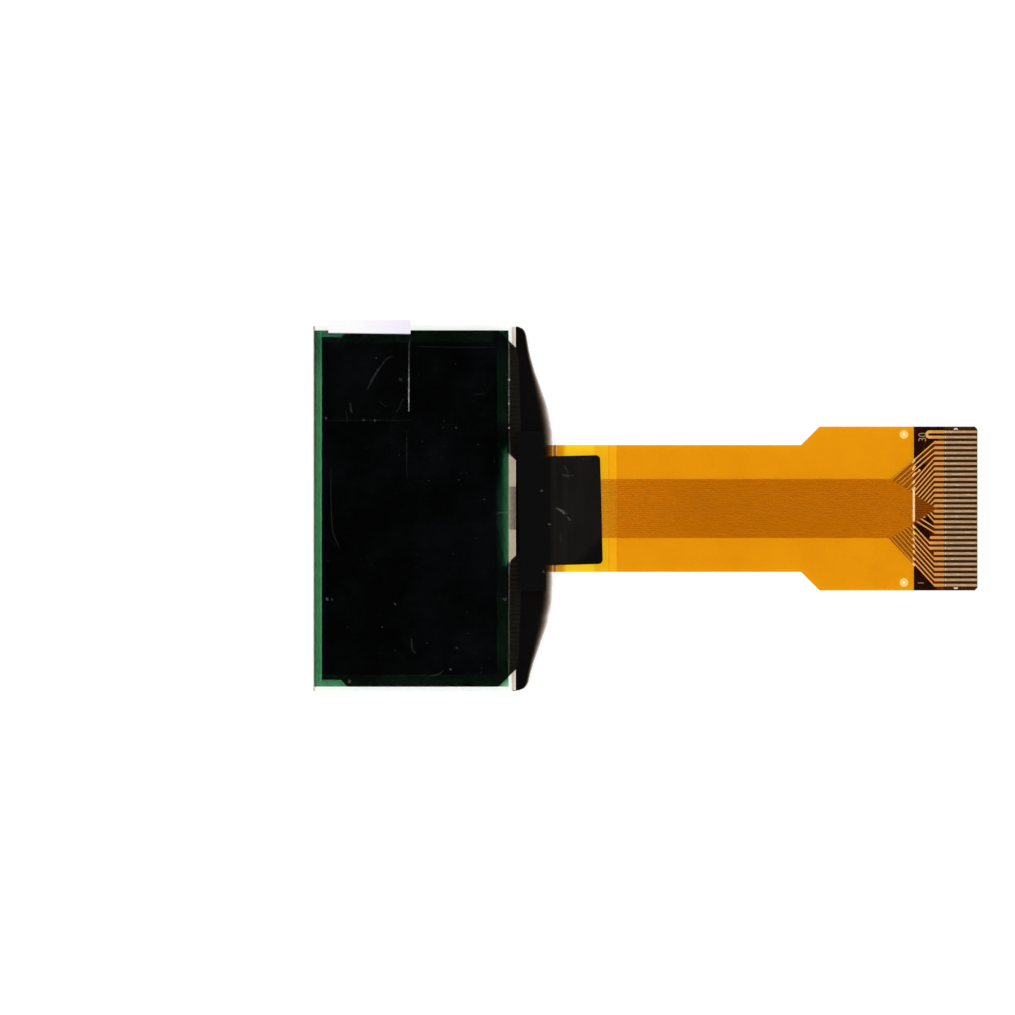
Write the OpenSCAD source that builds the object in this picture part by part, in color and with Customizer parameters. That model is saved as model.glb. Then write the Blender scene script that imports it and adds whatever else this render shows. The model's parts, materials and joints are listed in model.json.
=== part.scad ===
// Small OLED display module: two glasses with the light-emitting layers sealed between them,
// a driver chip on the ledge of the front glass, and a flat flexible tail that ends in a row
// of plated contacts for a flip-lock connector. It lies on its rear glass, display side up.
// X runs along the tail, Z out of the display, and the origin is the middle of the rear
// glass's back face.

/* [Glass panel] */
// Depth of the front glass, from its far edge to the edge over the tail
glass_w = 23; // [21:0.5:28]
// Length of both glasses
glass_l = 34.5; // [28:0.5:42]
// Thickness of the front glass
glass_t = 0.7; // [0.5:0.1:1.1]
// Thickness of the rear glass
cap_t = 0.5; // [0.4:0.1:0.7]
// Width of the ledge that the front glass has beyond the rear glass
ledge_w = 3.8; // [3.6:0.1:5]
// Width of the bevel ground on the ledge's front edge
bevel_w = 0.35; // [0.2:0.05:0.4]
// Depth of that bevel
bevel_t = 0.25; // [0.1:0.05:0.3]
// Thickness of the bead that seals the two glasses together
seal_t = 0.02; // [0.01:0.01:0.05]
// Width of the sealing bead
seal_w = 1; // [0.6:0.1:1.2]
// Distance from the rear glass's edge to the bead
seal_edge = 0.1; // [0.05:0.05:0.3]
// Width of the rim round the recess in the rear glass
rim_w = 1.4; // [1.3:0.1:2]
// Depth of the recess in the rear glass
recess_t = 0.25; // [0.15:0.05:0.3]
// Clearance between the drying sheet and the recess's walls
drier_gap = 0.8; // [0.3:0.1:1.5]
// Thickness of the drying sheet
drier_t = 0.15; // [0.1:0.01:0.15]

/* [Light-emitting layers] */
// Thickness that stands for the deposited layers
layer_t = 0.01; // [0.005:0.001:0.01]
// Margin from the far edge of the glass to the emitting area
view_edge = 0.8; // [0.6:0.1:1.5]
// Margin from the line where the rear glass ends to the emitting area
view_ledge = 1.85; // [1.6:0.05:3]
// Margin from the glass's two ends to the emitting area
view_end = 1.55; // [1.4:0.05:2.5]
// Margin from the glass's two ends to the wiring round the area
wiring_end = 0.4; // [0.3:0.05:0.8]
// Distance from the emitting area to where the wiring slants to the ledge
wiring_turn = 0.15; // [0.1:0.05:0.5]
// Width of each fine line that crosses the clear window
fine_line_w = 0.1; // [0.05:0.01:0.2]
// Number of those lines
fine_lines = 10; // [4:1:16]

/* [Polarizer, film and pull tab] */
// Margin from the far edge of the glass to the polarizer
polarizer_edge = 0.1; // [0.05:0.05:0.5]
// Bare strip between the polarizer and the line where the rear glass ends
polarizer_bare = 0.75; // [0.3:0.05:1.5]
// Margin from the glass's two ends to the polarizer
polarizer_end = 0.45; // [0.1:0.05:1]
// Thickness of the polarizer
polarizer_t = 0.2; // [0.1:0.01:0.25]
// Thickness of the protective film on it
film_t = 0.06; // [0.03:0.01:0.1]
// Width of the pull tab
tab_w = 7.75; // [5:0.25:10]
// Length of the pull tab
tab_l = 9.45; // [6:0.05:14]
// Thickness of the pull tab
tab_t = 0.05; // [0.03:0.01:0.1]
// Distance from the glass's far edge to the tab
tab_edge = 1.45; // [0.5:0.05:6]
// How far the tab stands out past the end of the glass
tab_out = 0.52; // [0.2:0.02:2]

/* [Driver chip and ledge] */
// Length of the driver chip
chip_l = 7; // [5:0.1:9]
// Width of the driver chip
chip_w = 0.9; // [0.7:0.05:1.2]
// Thickness of the driver chip
chip_t = 0.3; // [0.2:0.01:0.35]
// Gap between the rear glass and the chip
chip_gap = 0.55; // [0.4:0.05:0.8]
// Thickness of each conductive bond film
bond_t = 0.02; // [0.01:0.005:0.03]
// Depth of the thickest part of the black ledge coating
coating_t = 0.45; // [0.4:0.01:0.5]
// Bare strip that the coating leaves at the middle of the glass's edge
coating_bare = 0.35; // [0.2:0.05:0.6]
// Width of the coating at the two ends of the ledge
coating_end_w = 0.55; // [0.3:0.05:1]
// Distance from the glass's ends to where the coating is half as wide again
coating_shoulder = 4.4; // [3:0.1:6]
// How far the coating's middle lies off the middle of the glass
coating_shift = -0.65; // [-1:0.05:1]

/* [Light-shield tape] */
// Thickness of the tape
tape_t = 0.085; // [0.05:0.005:0.12]
// Width of the tape's head, on the glass
head_w = 2.4; // [1.5:0.1:2.6]
// Length of the tape's head
head_l = 15.1; // [12.5:0.1:18]
// Distance from the line where the rear glass ends to the head
head_gap = 0.2; // [0.1:0.05:0.6]
// Bare tail that the stem leaves at each side
stem_edge = 0.85; // [0.4:0.05:2]
// How far the stem reaches past the edge of the glass
stem_out = 4.15; // [2.5:0.05:4.6]
// Distance past the glass at which the stem lands on the tail
stem_land = 0.85; // [0.8:0.05:1.5]
// Radius of the stem's corners
stem_r = 0.35; // [0.1:0.05:1]
// How far the tape was turned as it was laid, in degrees
tape_turn = 1.4; // [0:0.1:2]
// How far the tape lies off the middle of the glass
tape_shift = -0.2; // [-0.3:0.05:0.3]

/* [Tail] */
// Width of the tail where it is bonded to the glass
tail_w = 12; // [10:0.5:14]
// Length of the tail past the glass
tail_l = 39.8; // [30:0.1:60]
// Width of the tail that is bonded under the glass
bond_w = 1.2; // [0.8:0.1:1.4]
// Length of the wide part at the contacts
wide_l = 14.95; // [10:0.05:20]
// Size of the chamfers at the tail's free corners
corner_c = 0.25; // [0.1:0.05:0.4]
// Thickness of the base film
base_t = 0.025; // [0.02:0.005:0.05]
// Thickness of the front copper
copper_t = 0.018; // [0.012:0.001:0.02]
// Thickness of the copper on the back
back_copper_t = 0.012; // [0.009:0.001:0.018]
// Thickness of each coverlay
coverlay_t = 0.03; // [0.025:0.005:0.04]
// Distance from the glass to the edge of the front coverlay
front_cover_gap = 5.65; // [5:0.05:8]
// Distance from the glass to the edge of the back coverlay
back_cover_gap = 4.85; // [2:0.05:8]

/* [Contacts and stiffener] */
// Number of contacts
contacts = 30; // [24:1:34]
// Distance between contacts
pitch = 0.5; // [0.5:0.1:1]
// Width of a contact
finger_w = 0.3; // [0.25:0.01:0.35]
// Length of the bare, plated contacts
finger_l = 3.15; // [2:0.05:4]
// Margin from the outer contacts' middles to the tail's edge
finger_edge = 0.5; // [0.4:0.05:1]
// Thickness of the plating
plating_t = 0.007; // [0.003:0.001:0.01]
// Length of the stiffener
stiffener_l = 6; // [5:0.1:8]
// Thickness of the tail over the stiffener, at the contacts
contact_t = 0.3; // [0.28:0.01:0.35]
// Thickness of the stiffener's adhesive
adhesive_t = 0.02; // [0.01:0.005:0.05]
// Diameter of the two tooling holes
tooling_d = 0.8; // [0.5:0.1:1.2]
// Margin from the tail's side to the middle of each tooling hole
tooling_edge = 0.75; // [0.7:0.05:1.5]
// Distance from the tail's free edge to the tooling holes
tooling_end = 6.95; // [6.6:0.05:10]

/* [Copper tracks] */
// Distance between tracks in the bundle
track_pitch = 0.2; // [0.18:0.01:0.24]
// Width of a track in the bundle
track_w = 0.11; // [0.08:0.01:0.12]
// Width of a track where it slants to its contact
slant_w = 0.15; // [0.1:0.01:0.16]
// Distance from the tail's free edge to where the tracks slant
slant_end = 4.1; // [3.6:0.1:5]
// Diameter of the pads at the plated-through holes
via_pad_d = 0.28; // [0.25:0.01:0.3]
// Diameter of the copper barrels in those holes
via_d = 0.15; // [0.1:0.01:0.2]

/* [Hidden] */
$fn = 48;

// Places along X
cap_w = glass_w - ledge_w;
far_x = -cap_w / 2;
ledge_x = cap_w / 2;
edge_x = far_x + glass_w;
bond_x = edge_x - bond_w;
tail_x = edge_x + tail_l;
contact_x = tail_x - finger_l;
stiffener_x = tail_x - stiffener_l;
tooling_x = tail_x - tooling_end;
turn_x = tail_x - slant_end;
view_x = far_x + view_edge;
view_w = cap_w - view_edge - view_ledge;
polarizer_x = far_x + polarizer_edge;
polarizer_w = cap_w - polarizer_edge - polarizer_bare;
chip_x = ledge_x + chip_gap;

// Heights
glass_z = cap_t + seal_t;
front_z = glass_z + glass_t;
film_z = front_z + polarizer_t;
tab_z = film_z + film_t;
base_lo = coverlay_t;
base_hi = base_lo + base_t;
copper_hi = base_hi + copper_t;
cover_hi = base_hi + coverlay_t;
plating_hi = copper_hi + plating_t;
stiffener_t = contact_t - plating_hi - adhesive_t;
end_z = stiffener_t + adhesive_t;
bond_z = glass_z - bond_t - copper_hi;

// The tail leaves the glass level, falls gently to the stiffener's height, and is level again
ramp_start = edge_x + 0.5;
ramp_end = tooling_x - 1.5;
tail_end_w = (contacts - 1) * pitch + 2 * finger_edge;
stem_l = tail_w - 2 * stem_edge;
// More than any cut needs to pass right through
ample = 1;

// The underside of the tail above the table, at a distance along it
function tail_z(x) = lookup(x, [[ramp_start, bond_z], [ramp_end, end_z]]);

// The middle of a contact across the tail: contact 1 is at the -Y side
function contact_y(pin) = (pin - (contacts + 1) / 2) * pitch;

// Contacts with no track of their own: the last two are joined to each other, one ends at a
// hole, and one is unused
LOOP = contacts - 1;
JUMPED = 10;
UNUSED = 7;

// Tracks from +Y to -Y across the bundle, by the contact that each serves. Two of them serve
// a hole, and stand here by a number that no contact has.
UPPER_HOLE = 101;
LOWER_HOLE = 102;
track_pins = concat([for (pin = [LOOP - 1 : -1 : LOOP - 3]) pin], [UPPER_HOLE],
                    [for (pin = [LOOP - 4 : -1 : 13]) pin], [LOWER_HOLE],
                    [12, 11, 9, 8], [for (pin = [UNUSED - 1 : -1 : 1]) pin]);

// The middle of a track across the tail, by the contact or hole that it serves
function track_y(pin) =
    ((len(track_pins) - 1) / 2 - search(pin, track_pins)[0]) * track_pitch;

// How steeply each group of tracks slants to its contacts
function slant_of(pin) =
    pin > LOOP - 4 ? 0.88 :
    pin > 12 ? 1.13 :
    pin > JUMPED ? 0.63 : 1.1;

// Where a track stops slanting: contacts 8 and 9 turn earlier than the rest
function slant_stop(pin) = (pin == 8 || pin == 9) ? turn_x - 0.45 : turn_x;

// Each hole's place. The upper one lies midway between the tracks of two groups.
upper_back = 1.4;
upper_y = (contact_y(LOOP - 3) + contact_y(LOOP - 4)) / 2
    - upper_back * (slant_of(LOOP - 3) + slant_of(LOOP - 4)) / 2;
upper_hole = [turn_x - upper_back, upper_y];
lower_hole = [turn_x - 0.95, track_y(LOWER_HOLE) - 0.06];
loop_middle = [turn_x - 0.45, contact_y(LOOP) + pitch / 2];
loop_hole = loop_middle - [pitch / 2, 0];
jumped_hole = [turn_x - 0.3, contact_y(JUMPED)];
holes = [upper_hole, lower_hole, loop_hole, jumped_hole];

// ---- Shapes that several pieces share ----

// A flat plate on the XY plane, from a corner and a size
module plate(corner, size, z, t) {
    translate([corner.x, corner.y, z]) cube([size.x, size.y, t]);
}

// A sheet between two heights above the tail's underside, which follows the tail's fall
module tail_sheet(lo, hi, x_from, x_to) {
    xs = [for (x = [x_from, ramp_start, ramp_end, x_to]) if (x >= x_from && x <= x_to) x];
    below = [for (x = xs) [x, tail_z(x) + lo]];
    above = [for (i = [len(xs) - 1 : -1 : 0]) [xs[i], tail_z(xs[i]) + hi]];
    intersection() {
        rotate([90, 0, 0])
            linear_extrude(height = tail_end_w + ample, center = true) polygon(concat(below, above));
        linear_extrude(height = front_z) children();
    }
}

// The outline of the tail, from one place along it to its free edge
module tail_outline(x_from) {
    half = tail_w / 2;
    half_end = tail_end_w / 2;
    wide_x = tail_x - wide_l;
    flare_x = wide_x - abs(half_end - half);
    polygon([[x_from, -half], [flare_x, -half], [wide_x, -half_end],
             [tail_x - corner_c, -half_end], [tail_x, corner_c - half_end],
             [tail_x, half_end - corner_c], [tail_x - corner_c, half_end],
             [wide_x, half_end], [flare_x, half], [x_from, half]]);
}

// The two tooling holes near the stiffener
module tooling_holes() {
    for (side = [-1, 1])
        translate([tooling_x, side * (tail_end_w / 2 - tooling_edge), -ample])
            cylinder(h = front_z + 2 * ample, d = tooling_d);
}

// ---- Glass panel ----

module rear_glass() {
    color([0.80, 0.90, 0.88, 0.5])
        difference() {
            plate([far_x, -glass_l / 2], [cap_w, glass_l], 0, cap_t);
            recess(0);
        }
}

// The space etched in the rear glass, drawn smaller by a clearance all round
module recess(gap) {
    inset = rim_w + gap;
    plate([far_x + inset, inset - glass_l / 2], [cap_w - 2 * inset, glass_l - 2 * inset],
          cap_t - recess_t, recess_t + (gap > 0 ? 0 : ample));
}

module drying_sheet() {
    color("whitesmoke")
        intersection() {
            recess(drier_gap);
            plate([far_x, -glass_l / 2], [cap_w, glass_l], cap_t - recess_t, drier_t);
        }
}

// The bead runs round the rear glass, and gives way to the wiring that passes under it
module edge_seal() {
    inner = seal_edge + seal_w;
    color("gainsboro")
        difference() {
            plate([far_x + seal_edge, seal_edge - glass_l / 2],
                  [cap_w - 2 * seal_edge, glass_l - 2 * seal_edge], cap_t, seal_t);
            plate([far_x + inner, inner - glass_l / 2],
                  [cap_w - 2 * inner, glass_l - 2 * inner], cap_t - ample, 2 * ample);
            panel_wiring();
            emitting_layers();
        }
}

module front_glass() {
    color([0.85, 0.93, 0.90, 0.4])
        difference() {
            plate([far_x, -glass_l / 2], [glass_w, glass_l], glass_z, glass_t);
            rotate([90, 0, 0])
                linear_extrude(height = glass_l + ample, center = true)
                    polygon([[edge_x - bevel_w, front_z], [edge_x, front_z - bevel_t],
                             [edge_x + ample, front_z - bevel_t], [edge_x + ample, front_z + ample],
                             [edge_x - bevel_w, front_z + ample]]);
        }
}

module emitting_layers() {
    color([0.03, 0.03, 0.04])
        plate([view_x, view_end - glass_l / 2], [view_w, glass_l - 2 * view_end],
              glass_z - layer_t, layer_t);
}

// Outline of the wiring that frames the emitting area and runs in to the ledge
module wiring_outline() {
    view_y = glass_l / 2 - view_end;
    top_y = glass_l / 2 - wiring_end;
    step_y = top_y - 0.65;
    slant_x = view_x + view_w + wiring_turn;
    upper = [[view_x, view_y], [view_x, step_y], [view_x + 1.8, step_y],
             [view_x + 2.4, top_y], [slant_x, top_y], [ledge_x, top_y - (ledge_x - slant_x)],
             [ledge_x + 0.2, top_y - 3], [chip_x, chip_l / 2]];
    lower = [for (p = upper) [p.x, -p.y]];
    polygon(concat(lower, [for (i = [len(upper) - 1 : -1 : 0]) upper[i]]));
}

// The clear window between the two halves of the wiring
module window_outline() {
    left_x = view_x + view_w;
    polygon([[left_x + 1.2, 7.4], [left_x + 0.5, 4.6], [left_x + 0.05, 0.6], [left_x + 0.3, -3.4],
             [left_x + 1.2, -6.5], [left_x + 1.3, -4.9], [ledge_x, -4.4],
             [chip_x - 0.05, -chip_l / 2], [chip_x - 0.05, chip_l / 2], [ledge_x, 4.5],
             [left_x + 1.3, 5]]);
}

// Fine lines that cross the window, from the emitting area to the chip
module window_lines() {
    line_step = 0.4;
    line_x = view_x + view_w + 0.1;
    for (i = [0 : fine_lines - 1])
        translate([line_x, (i - (fine_lines - 1) / 2) * line_step - fine_line_w / 2])
            square([chip_x - line_x - 0.1, fine_line_w]);
}

module panel_wiring() {
    color([0.12, 0.09, 0.07])
        translate([0, 0, glass_z - layer_t])
            linear_extrude(height = layer_t) {
                difference() {
                    wiring_outline();
                    translate([view_x, view_end - glass_l / 2])
                        square([view_w, glass_l - 2 * view_end]);
                    window_outline();
                }
                window_lines();
            }
}

// ---- Polarizer, film and pull tab ----

module polarizer() {
    color([0.20, 0.38, 0.28, 0.8])
        plate([polarizer_x, polarizer_end - glass_l / 2],
              [polarizer_w, glass_l - 2 * polarizer_end], front_z, polarizer_t);
}

module protective_film() {
    color([0.85, 0.87, 0.92, 0.3])
        plate([polarizer_x, polarizer_end - glass_l / 2],
              [polarizer_w, glass_l - 2 * polarizer_end], film_z, film_t);
}

module pull_tab() {
    color([0.94, 0.92, 0.98, 0.6])
        plate([far_x + tab_edge, glass_l / 2 + tab_out - tab_l], [tab_w, tab_l], tab_z, tab_t);
}

// ---- Driver chip, its bond and the ledge coating ----

module driver_chip() {
    color([0.35, 0.36, 0.38])
        plate([chip_x, -chip_l / 2], [chip_w, chip_l],
              glass_z - bond_t - chip_t, chip_t);
}

module chip_bond_film() {
    color("darkkhaki")
        plate([chip_x, -chip_l / 2], [chip_w, chip_l], glass_z - bond_t, bond_t);
}

// The bond film fills the space between the glass and the tail, round the tracks
module tail_bond_film() {
    color("darkkhaki")
        difference() {
            plate([bond_x, -tail_w / 2], [bond_w, tail_w], bond_z + base_hi,
                  glass_z - bond_z - base_hi);
            tail_tracks();
        }
}

// Width of the coating at a place along the ledge: flat-topped, narrow at both ends
function coating_w(y) =
    coating_end_w + (ledge_w - coating_bare - coating_end_w)
    / (1 + pow(abs(y - coating_shift) / (glass_l / 2 - coating_shoulder), 6.5));

// Section of the coating, as points in X and Z: a quarter of an oval hung under the glass
function coating_section(y) =
    let (w = coating_w(y), t = coating_t * sqrt(w / (ledge_w - coating_bare)))
    concat([[0, 0]], [for (a = [0 : 15 : 90]) [w * cos(a), -t * sin(a)]]);

// The coating is lofted from section to section, and gives way to all that it covers
module ledge_coating() {
    stations = 32;
    ys = [for (i = [0 : stations]) (i / stations - 0.5) * (glass_l - 0.1)];
    ring = len(coating_section(0));
    points = [for (y = ys) for (p = coating_section(y)) [ledge_x + p.x, y, glass_z + p.y]];
    sides = [for (i = [0 : stations - 1]) for (j = [0 : ring - 1])
                let (a = i * ring + j, b = i * ring + (j + 1) % ring)
                    each [[a, b, a + ring], [b, b + ring, a + ring]]];
    start_cap = [for (j = [ring - 1 : -1 : 0]) j];
    end_cap = [for (j = [0 : ring - 1]) stations * ring + j];
    color([0.06, 0.05, 0.05])
        difference() {
            polyhedron(points, concat(sides, [start_cap], [end_cap]));
            driver_chip();
            chip_bond_film();
            tail_bond_film();
            tail_base_film();
            tail_tracks();
            panel_wiring();
        }
}

// ---- Light-shield tape ----

// The tape's T outline, turned a little about the middle of its stem
module tape_outline() {
    stem_x = edge_x + stem_out;
    head_x = ledge_x + head_gap;
    half = stem_l / 2;
    translate([edge_x, tape_shift]) rotate(tape_turn) translate([-edge_x, 0]) {
        translate([head_x, -head_l / 2]) square([head_w, head_l]);
        translate([head_x, -half]) square([stem_x - stem_r - head_x, stem_l]);
        translate([stem_x - 2 * stem_r, stem_r - half]) square([2 * stem_r, stem_l - 2 * stem_r]);
        for (side = [-1, 1])
            translate([stem_x - stem_r, side * (half - stem_r)]) circle(r = stem_r);
    }
}

// The tape lies on the glass, leaves it at the bevel, and lands on the tail's tracks
module light_shield_tape() {
    crease_x = edge_x - bevel_w;
    land_x = edge_x + stem_land;
    past_x = edge_x + stem_out + ample;
    path = [[ledge_x, front_z], [crease_x, front_z], [land_x, tail_z(land_x) + copper_hi],
            [past_x, tail_z(past_x) + copper_hi]];
    color([0.10, 0.10, 0.10])
        intersection() {
            rotate([90, 0, 0])
                linear_extrude(height = glass_l, center = true)
                    polygon(concat(path, [for (i = [3 : -1 : 0]) path[i] + [0, tape_t]]));
            linear_extrude(height = front_z + ample) tape_outline();
        }
}

// ---- Tail ----

module tail_base_film() {
    color([0.93, 0.66, 0.10])
        difference() {
            tail_sheet(base_lo, base_hi, bond_x, tail_x) tail_outline(bond_x);
            tooling_holes();
            via_barrels();
        }
}

// One track: level in the bundle, slanted to a point, then level to its far end. It is drawn
// as one that slants to +Y, and mirrored if it slants the other way.
module track(from_y, to, to_w, slope, far_end) {
    rise = abs(to.y - from_y);
    over = slant_w / 2 * sqrt(1 + slope * slope);
    start_x = to.x - rise / slope;
    bends = [[0, track_w / 2], [rise, to_w / 2]];
    outer = [for (b = bends) [start_x + (b[0] + b[1] - over) / slope, b[0] + b[1]]];
    inner = [for (b = bends) [start_x + (b[0] - b[1] + over) / slope, b[0] - b[1]]];
    translate([0, from_y])
        mirror([0, to.y < from_y ? 1 : 0])
            polygon([[bond_x, inner[0].y], inner[0], inner[1], [far_end, inner[1].y],
                     [far_end, outer[1].y], outer[1], outer[0], [bond_x, outer[0].y]]);
}

// The two tracks that serve holes, and the pad at each
module hole_tracks() {
    track(track_y(UPPER_HOLE), upper_hole, slant_w, slant_of(UPPER_HOLE), upper_hole.x + 0.05);
    translate([bond_x, track_y(LOWER_HOLE) - track_w / 2])
        square([lower_hole.x - bond_x, track_w]);
    for (hole = [upper_hole, lower_hole]) translate(hole) circle(d = via_pad_d);
}

// The last two contacts are joined by a loop, one ends at a hole, and one just ends
module short_fingers() {
    for (pin = [contacts, LOOP]) finger(pin, loop_middle.x);
    translate(loop_middle)
        difference() {
            circle(d = pitch + finger_w);
            circle(d = pitch - finger_w);
            translate([0, -pitch]) square(2 * pitch);
        }
    translate(loop_hole) circle(d = via_pad_d);
    finger(JUMPED, jumped_hole.x);
    translate(jumped_hole) circle(d = via_pad_d);
    finger(UNUSED, turn_x - 0.05);
}

// A straight contact, from a place along the tail to its free edge
module finger(pin, x_from) {
    translate([x_from, contact_y(pin) - finger_w / 2]) square([tail_x - x_from, finger_w]);
}

// Marks beside the outer contacts that show how far the tail goes into its connector
module depth_marks() {
    base = contact_y(contacts) + finger_w / 2 + 0.04;
    tip = base + 0.19;
    for (side = [-1, 1])
        polygon([[tail_x - 2.3, side * base], [tail_x - 1.8, side * base],
                 [tail_x - 1.9, side * tip], [tail_x - 2.2, side * tip]]);
}

module tail_tracks() {
    color([0.80, 0.50, 0.25])
        tail_sheet(base_hi, copper_hi, bond_x, tail_x) {
            for (pin = track_pins)
                if (pin < UPPER_HOLE)
                    track(track_y(pin), [slant_stop(pin), contact_y(pin)], finger_w,
                          slant_of(pin), tail_x);
            hole_tracks();
            short_fingers();
            depth_marks();
        }
}

// Copper barrels through the base film, under the four pads
module via_barrels() {
    for (hole = holes)
        translate([hole.x, hole.y, end_z + base_lo]) cylinder(h = base_t, d = via_d);
}

// Copper on the back that joins the barrels in pairs
module back_jumpers() {
    color([0.80, 0.50, 0.25]) {
        via_barrels();
        jumper(upper_hole, loop_hole);
        jumper(lower_hole, jumped_hole);
    }
}

// A strip on the back of the base film, with a pad at each end
module jumper(start, end) {
    run = end - start;
    translate([start.x, start.y, end_z + base_lo - back_copper_t])
        rotate(atan2(run.y, run.x)) {
            translate([0, -slant_w / 2, 0]) cube([norm(run), slant_w, back_copper_t]);
            for (x = [0, norm(run)]) translate([x, 0, 0]) cylinder(h = back_copper_t, d = via_pad_d);
        }
}

module front_coverlay() {
    cover_x = edge_x + front_cover_gap;
    color([0.88, 0.55, 0.08, 0.7])
        difference() {
            tail_sheet(base_hi, cover_hi, cover_x, contact_x)
                intersection() {
                    tail_outline(cover_x);
                    translate([cover_x, -glass_l / 2]) square([contact_x - cover_x, glass_l]);
                }
            tail_tracks();
            tooling_holes();
        }
}

module back_coverlay() {
    cover_x = edge_x + back_cover_gap;
    color([0.88, 0.55, 0.08, 0.7])
        difference() {
            tail_sheet(0, base_lo, cover_x, tail_x) tail_outline(cover_x);
            back_jumpers();
            tooling_holes();
        }
}

module contact_plating() {
    color([0.80, 0.72, 0.55])
        for (pin = [1 : contacts])
            translate([contact_x, contact_y(pin) - finger_w / 2, end_z + copper_hi])
                cube([finger_l, finger_w, plating_t]);
}

// ---- Stiffener ----

// The tail's outline, from the stiffener's edge to the free edge
module stiffener_plate(z, t) {
    translate([0, 0, z])
        linear_extrude(height = t)
            intersection() {
                tail_outline(stiffener_x);
                translate([stiffener_x, -glass_l / 2]) square([stiffener_l, glass_l]);
            }
}

module stiffener_adhesive() {
    color([0.35, 0.25, 0.15]) stiffener_plate(stiffener_t, adhesive_t);
}

module tail_stiffener() {
    color([0.14, 0.09, 0.05]) stiffener_plate(0, stiffener_t);
}

rear_glass();
drying_sheet();
edge_seal();
front_glass();
emitting_layers();
panel_wiring();
polarizer();
protective_film();
pull_tab();
driver_chip();
chip_bond_film();
tail_bond_film();
ledge_coating();
light_shield_tape();
tail_base_film();
tail_tracks();
back_jumpers();
front_coverlay();
back_coverlay();
contact_plating();
stiffener_adhesive();
tail_stiffener();
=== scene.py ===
# %% [markdown]
# A small OLED display module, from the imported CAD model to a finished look. Two glasses hold the
# light-emitting layers between them, a deep green polarizer with its protective film lies on the
# front, black silicone covers the ledge with the driver chip, and an amber flexible tail carries
# copper tracks to thirty plated contacts. The CAD frame is loaded first and never moved. Hidden
# and plain opaque pieces keep their CAD shape and get better materials. Clear sheets, etched metal,
# soft silicone and tape are built again on top of it: they need a sliver of air between them,
# sloped sides or a smoother shape.

# %% Load the frame
import json
import math

import bmesh
import bpy
from mathutils import Matrix, Vector


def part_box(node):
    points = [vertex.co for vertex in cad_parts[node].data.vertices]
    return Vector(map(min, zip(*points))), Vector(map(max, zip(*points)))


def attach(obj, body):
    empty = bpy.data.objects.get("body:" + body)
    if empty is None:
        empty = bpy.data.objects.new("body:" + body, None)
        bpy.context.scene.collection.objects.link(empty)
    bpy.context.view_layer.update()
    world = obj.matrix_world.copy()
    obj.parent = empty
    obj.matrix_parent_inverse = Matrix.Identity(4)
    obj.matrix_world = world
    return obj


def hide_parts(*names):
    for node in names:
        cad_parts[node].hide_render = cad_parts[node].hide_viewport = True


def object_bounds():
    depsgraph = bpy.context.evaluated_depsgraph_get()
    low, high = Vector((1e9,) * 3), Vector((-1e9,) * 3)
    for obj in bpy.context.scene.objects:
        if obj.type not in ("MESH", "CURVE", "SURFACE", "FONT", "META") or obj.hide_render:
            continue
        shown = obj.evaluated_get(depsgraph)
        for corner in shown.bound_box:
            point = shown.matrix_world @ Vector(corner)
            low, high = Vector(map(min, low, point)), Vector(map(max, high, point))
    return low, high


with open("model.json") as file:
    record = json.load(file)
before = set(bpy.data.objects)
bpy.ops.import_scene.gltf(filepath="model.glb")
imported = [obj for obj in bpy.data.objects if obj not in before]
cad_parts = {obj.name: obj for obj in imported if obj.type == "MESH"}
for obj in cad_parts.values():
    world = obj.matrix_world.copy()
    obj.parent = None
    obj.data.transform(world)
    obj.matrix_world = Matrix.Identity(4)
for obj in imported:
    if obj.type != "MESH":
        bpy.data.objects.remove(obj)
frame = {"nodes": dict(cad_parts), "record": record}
nodes = frame["nodes"]
cad_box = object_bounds()
scene = bpy.context.scene
scene.view_settings.view_transform = "Standard"
# A straight look through panel, glass and films crosses up to sixteen faces
scene.cycles.transparent_max_bounces = 32
print("nodes:", len(nodes), "box:", [round(v * 1000, 2) for v in (*cad_box[0], *cad_box[1])])

# %% [markdown]
# Every later cell needs the same few tools: millimetres, a hex colour turned to linear light, one
# function that adds a node with its settings and links, and one that wraps a shader in a material.
# A sheet that a ray enters and leaves colours it twice, so a face takes the square root of what
# the whole sheet lets through.

# %% Small tools
MM = 0.001
# How far each face of a clear sheet is drawn in, so that faces which touch never coincide
CLEAR = 0.002 * MM
# Corners that lie closer than this are one corner
SAME = 0.0001 * MM


def rgb(code):
    """An sRGB hex colour as linear light."""
    parts = [int(code[i : i + 2], 16) / 255 for i in (1, 3, 5)]
    return (*[c / 12.92 if c <= 0.04045 else ((c + 0.055) / 1.055) ** 2.4 for c in parts], 1.0)


def per_face(code):
    """What one of a sheet's two faces lets through, from what the whole sheet does."""
    return (*[math.sqrt(c) for c in rgb(code)[:3]], 1.0)


def add(tree, kind, inputs=None, out=0, **settings):
    """Adds a node, makes its settings and links, and gives the output asked for."""
    node = tree.nodes.new(kind)
    for name, value in settings.items():
        setattr(node, name, value)
    for place, value in (inputs or {}).items():
        if isinstance(value, bpy.types.NodeSocket):
            tree.links.new(value, node.inputs[place])
        else:
            node.inputs[place].default_value = value
    return node.outputs[out] if node.outputs else node


def new_material(name, build, *facts):
    """A material whose shader comes from a function of its node tree."""
    made = bpy.data.materials.new(name)
    made.use_nodes = True
    made.node_tree.nodes.clear()
    add(made.node_tree, "ShaderNodeOutputMaterial", {"Surface": build(made.node_tree, *facts)})
    return made


def new_object(name, mesh):
    """An object at the origin, whose place is in its mesh."""
    made = bpy.data.objects.new(name, mesh)
    scene.collection.objects.link(made)
    return made


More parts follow.
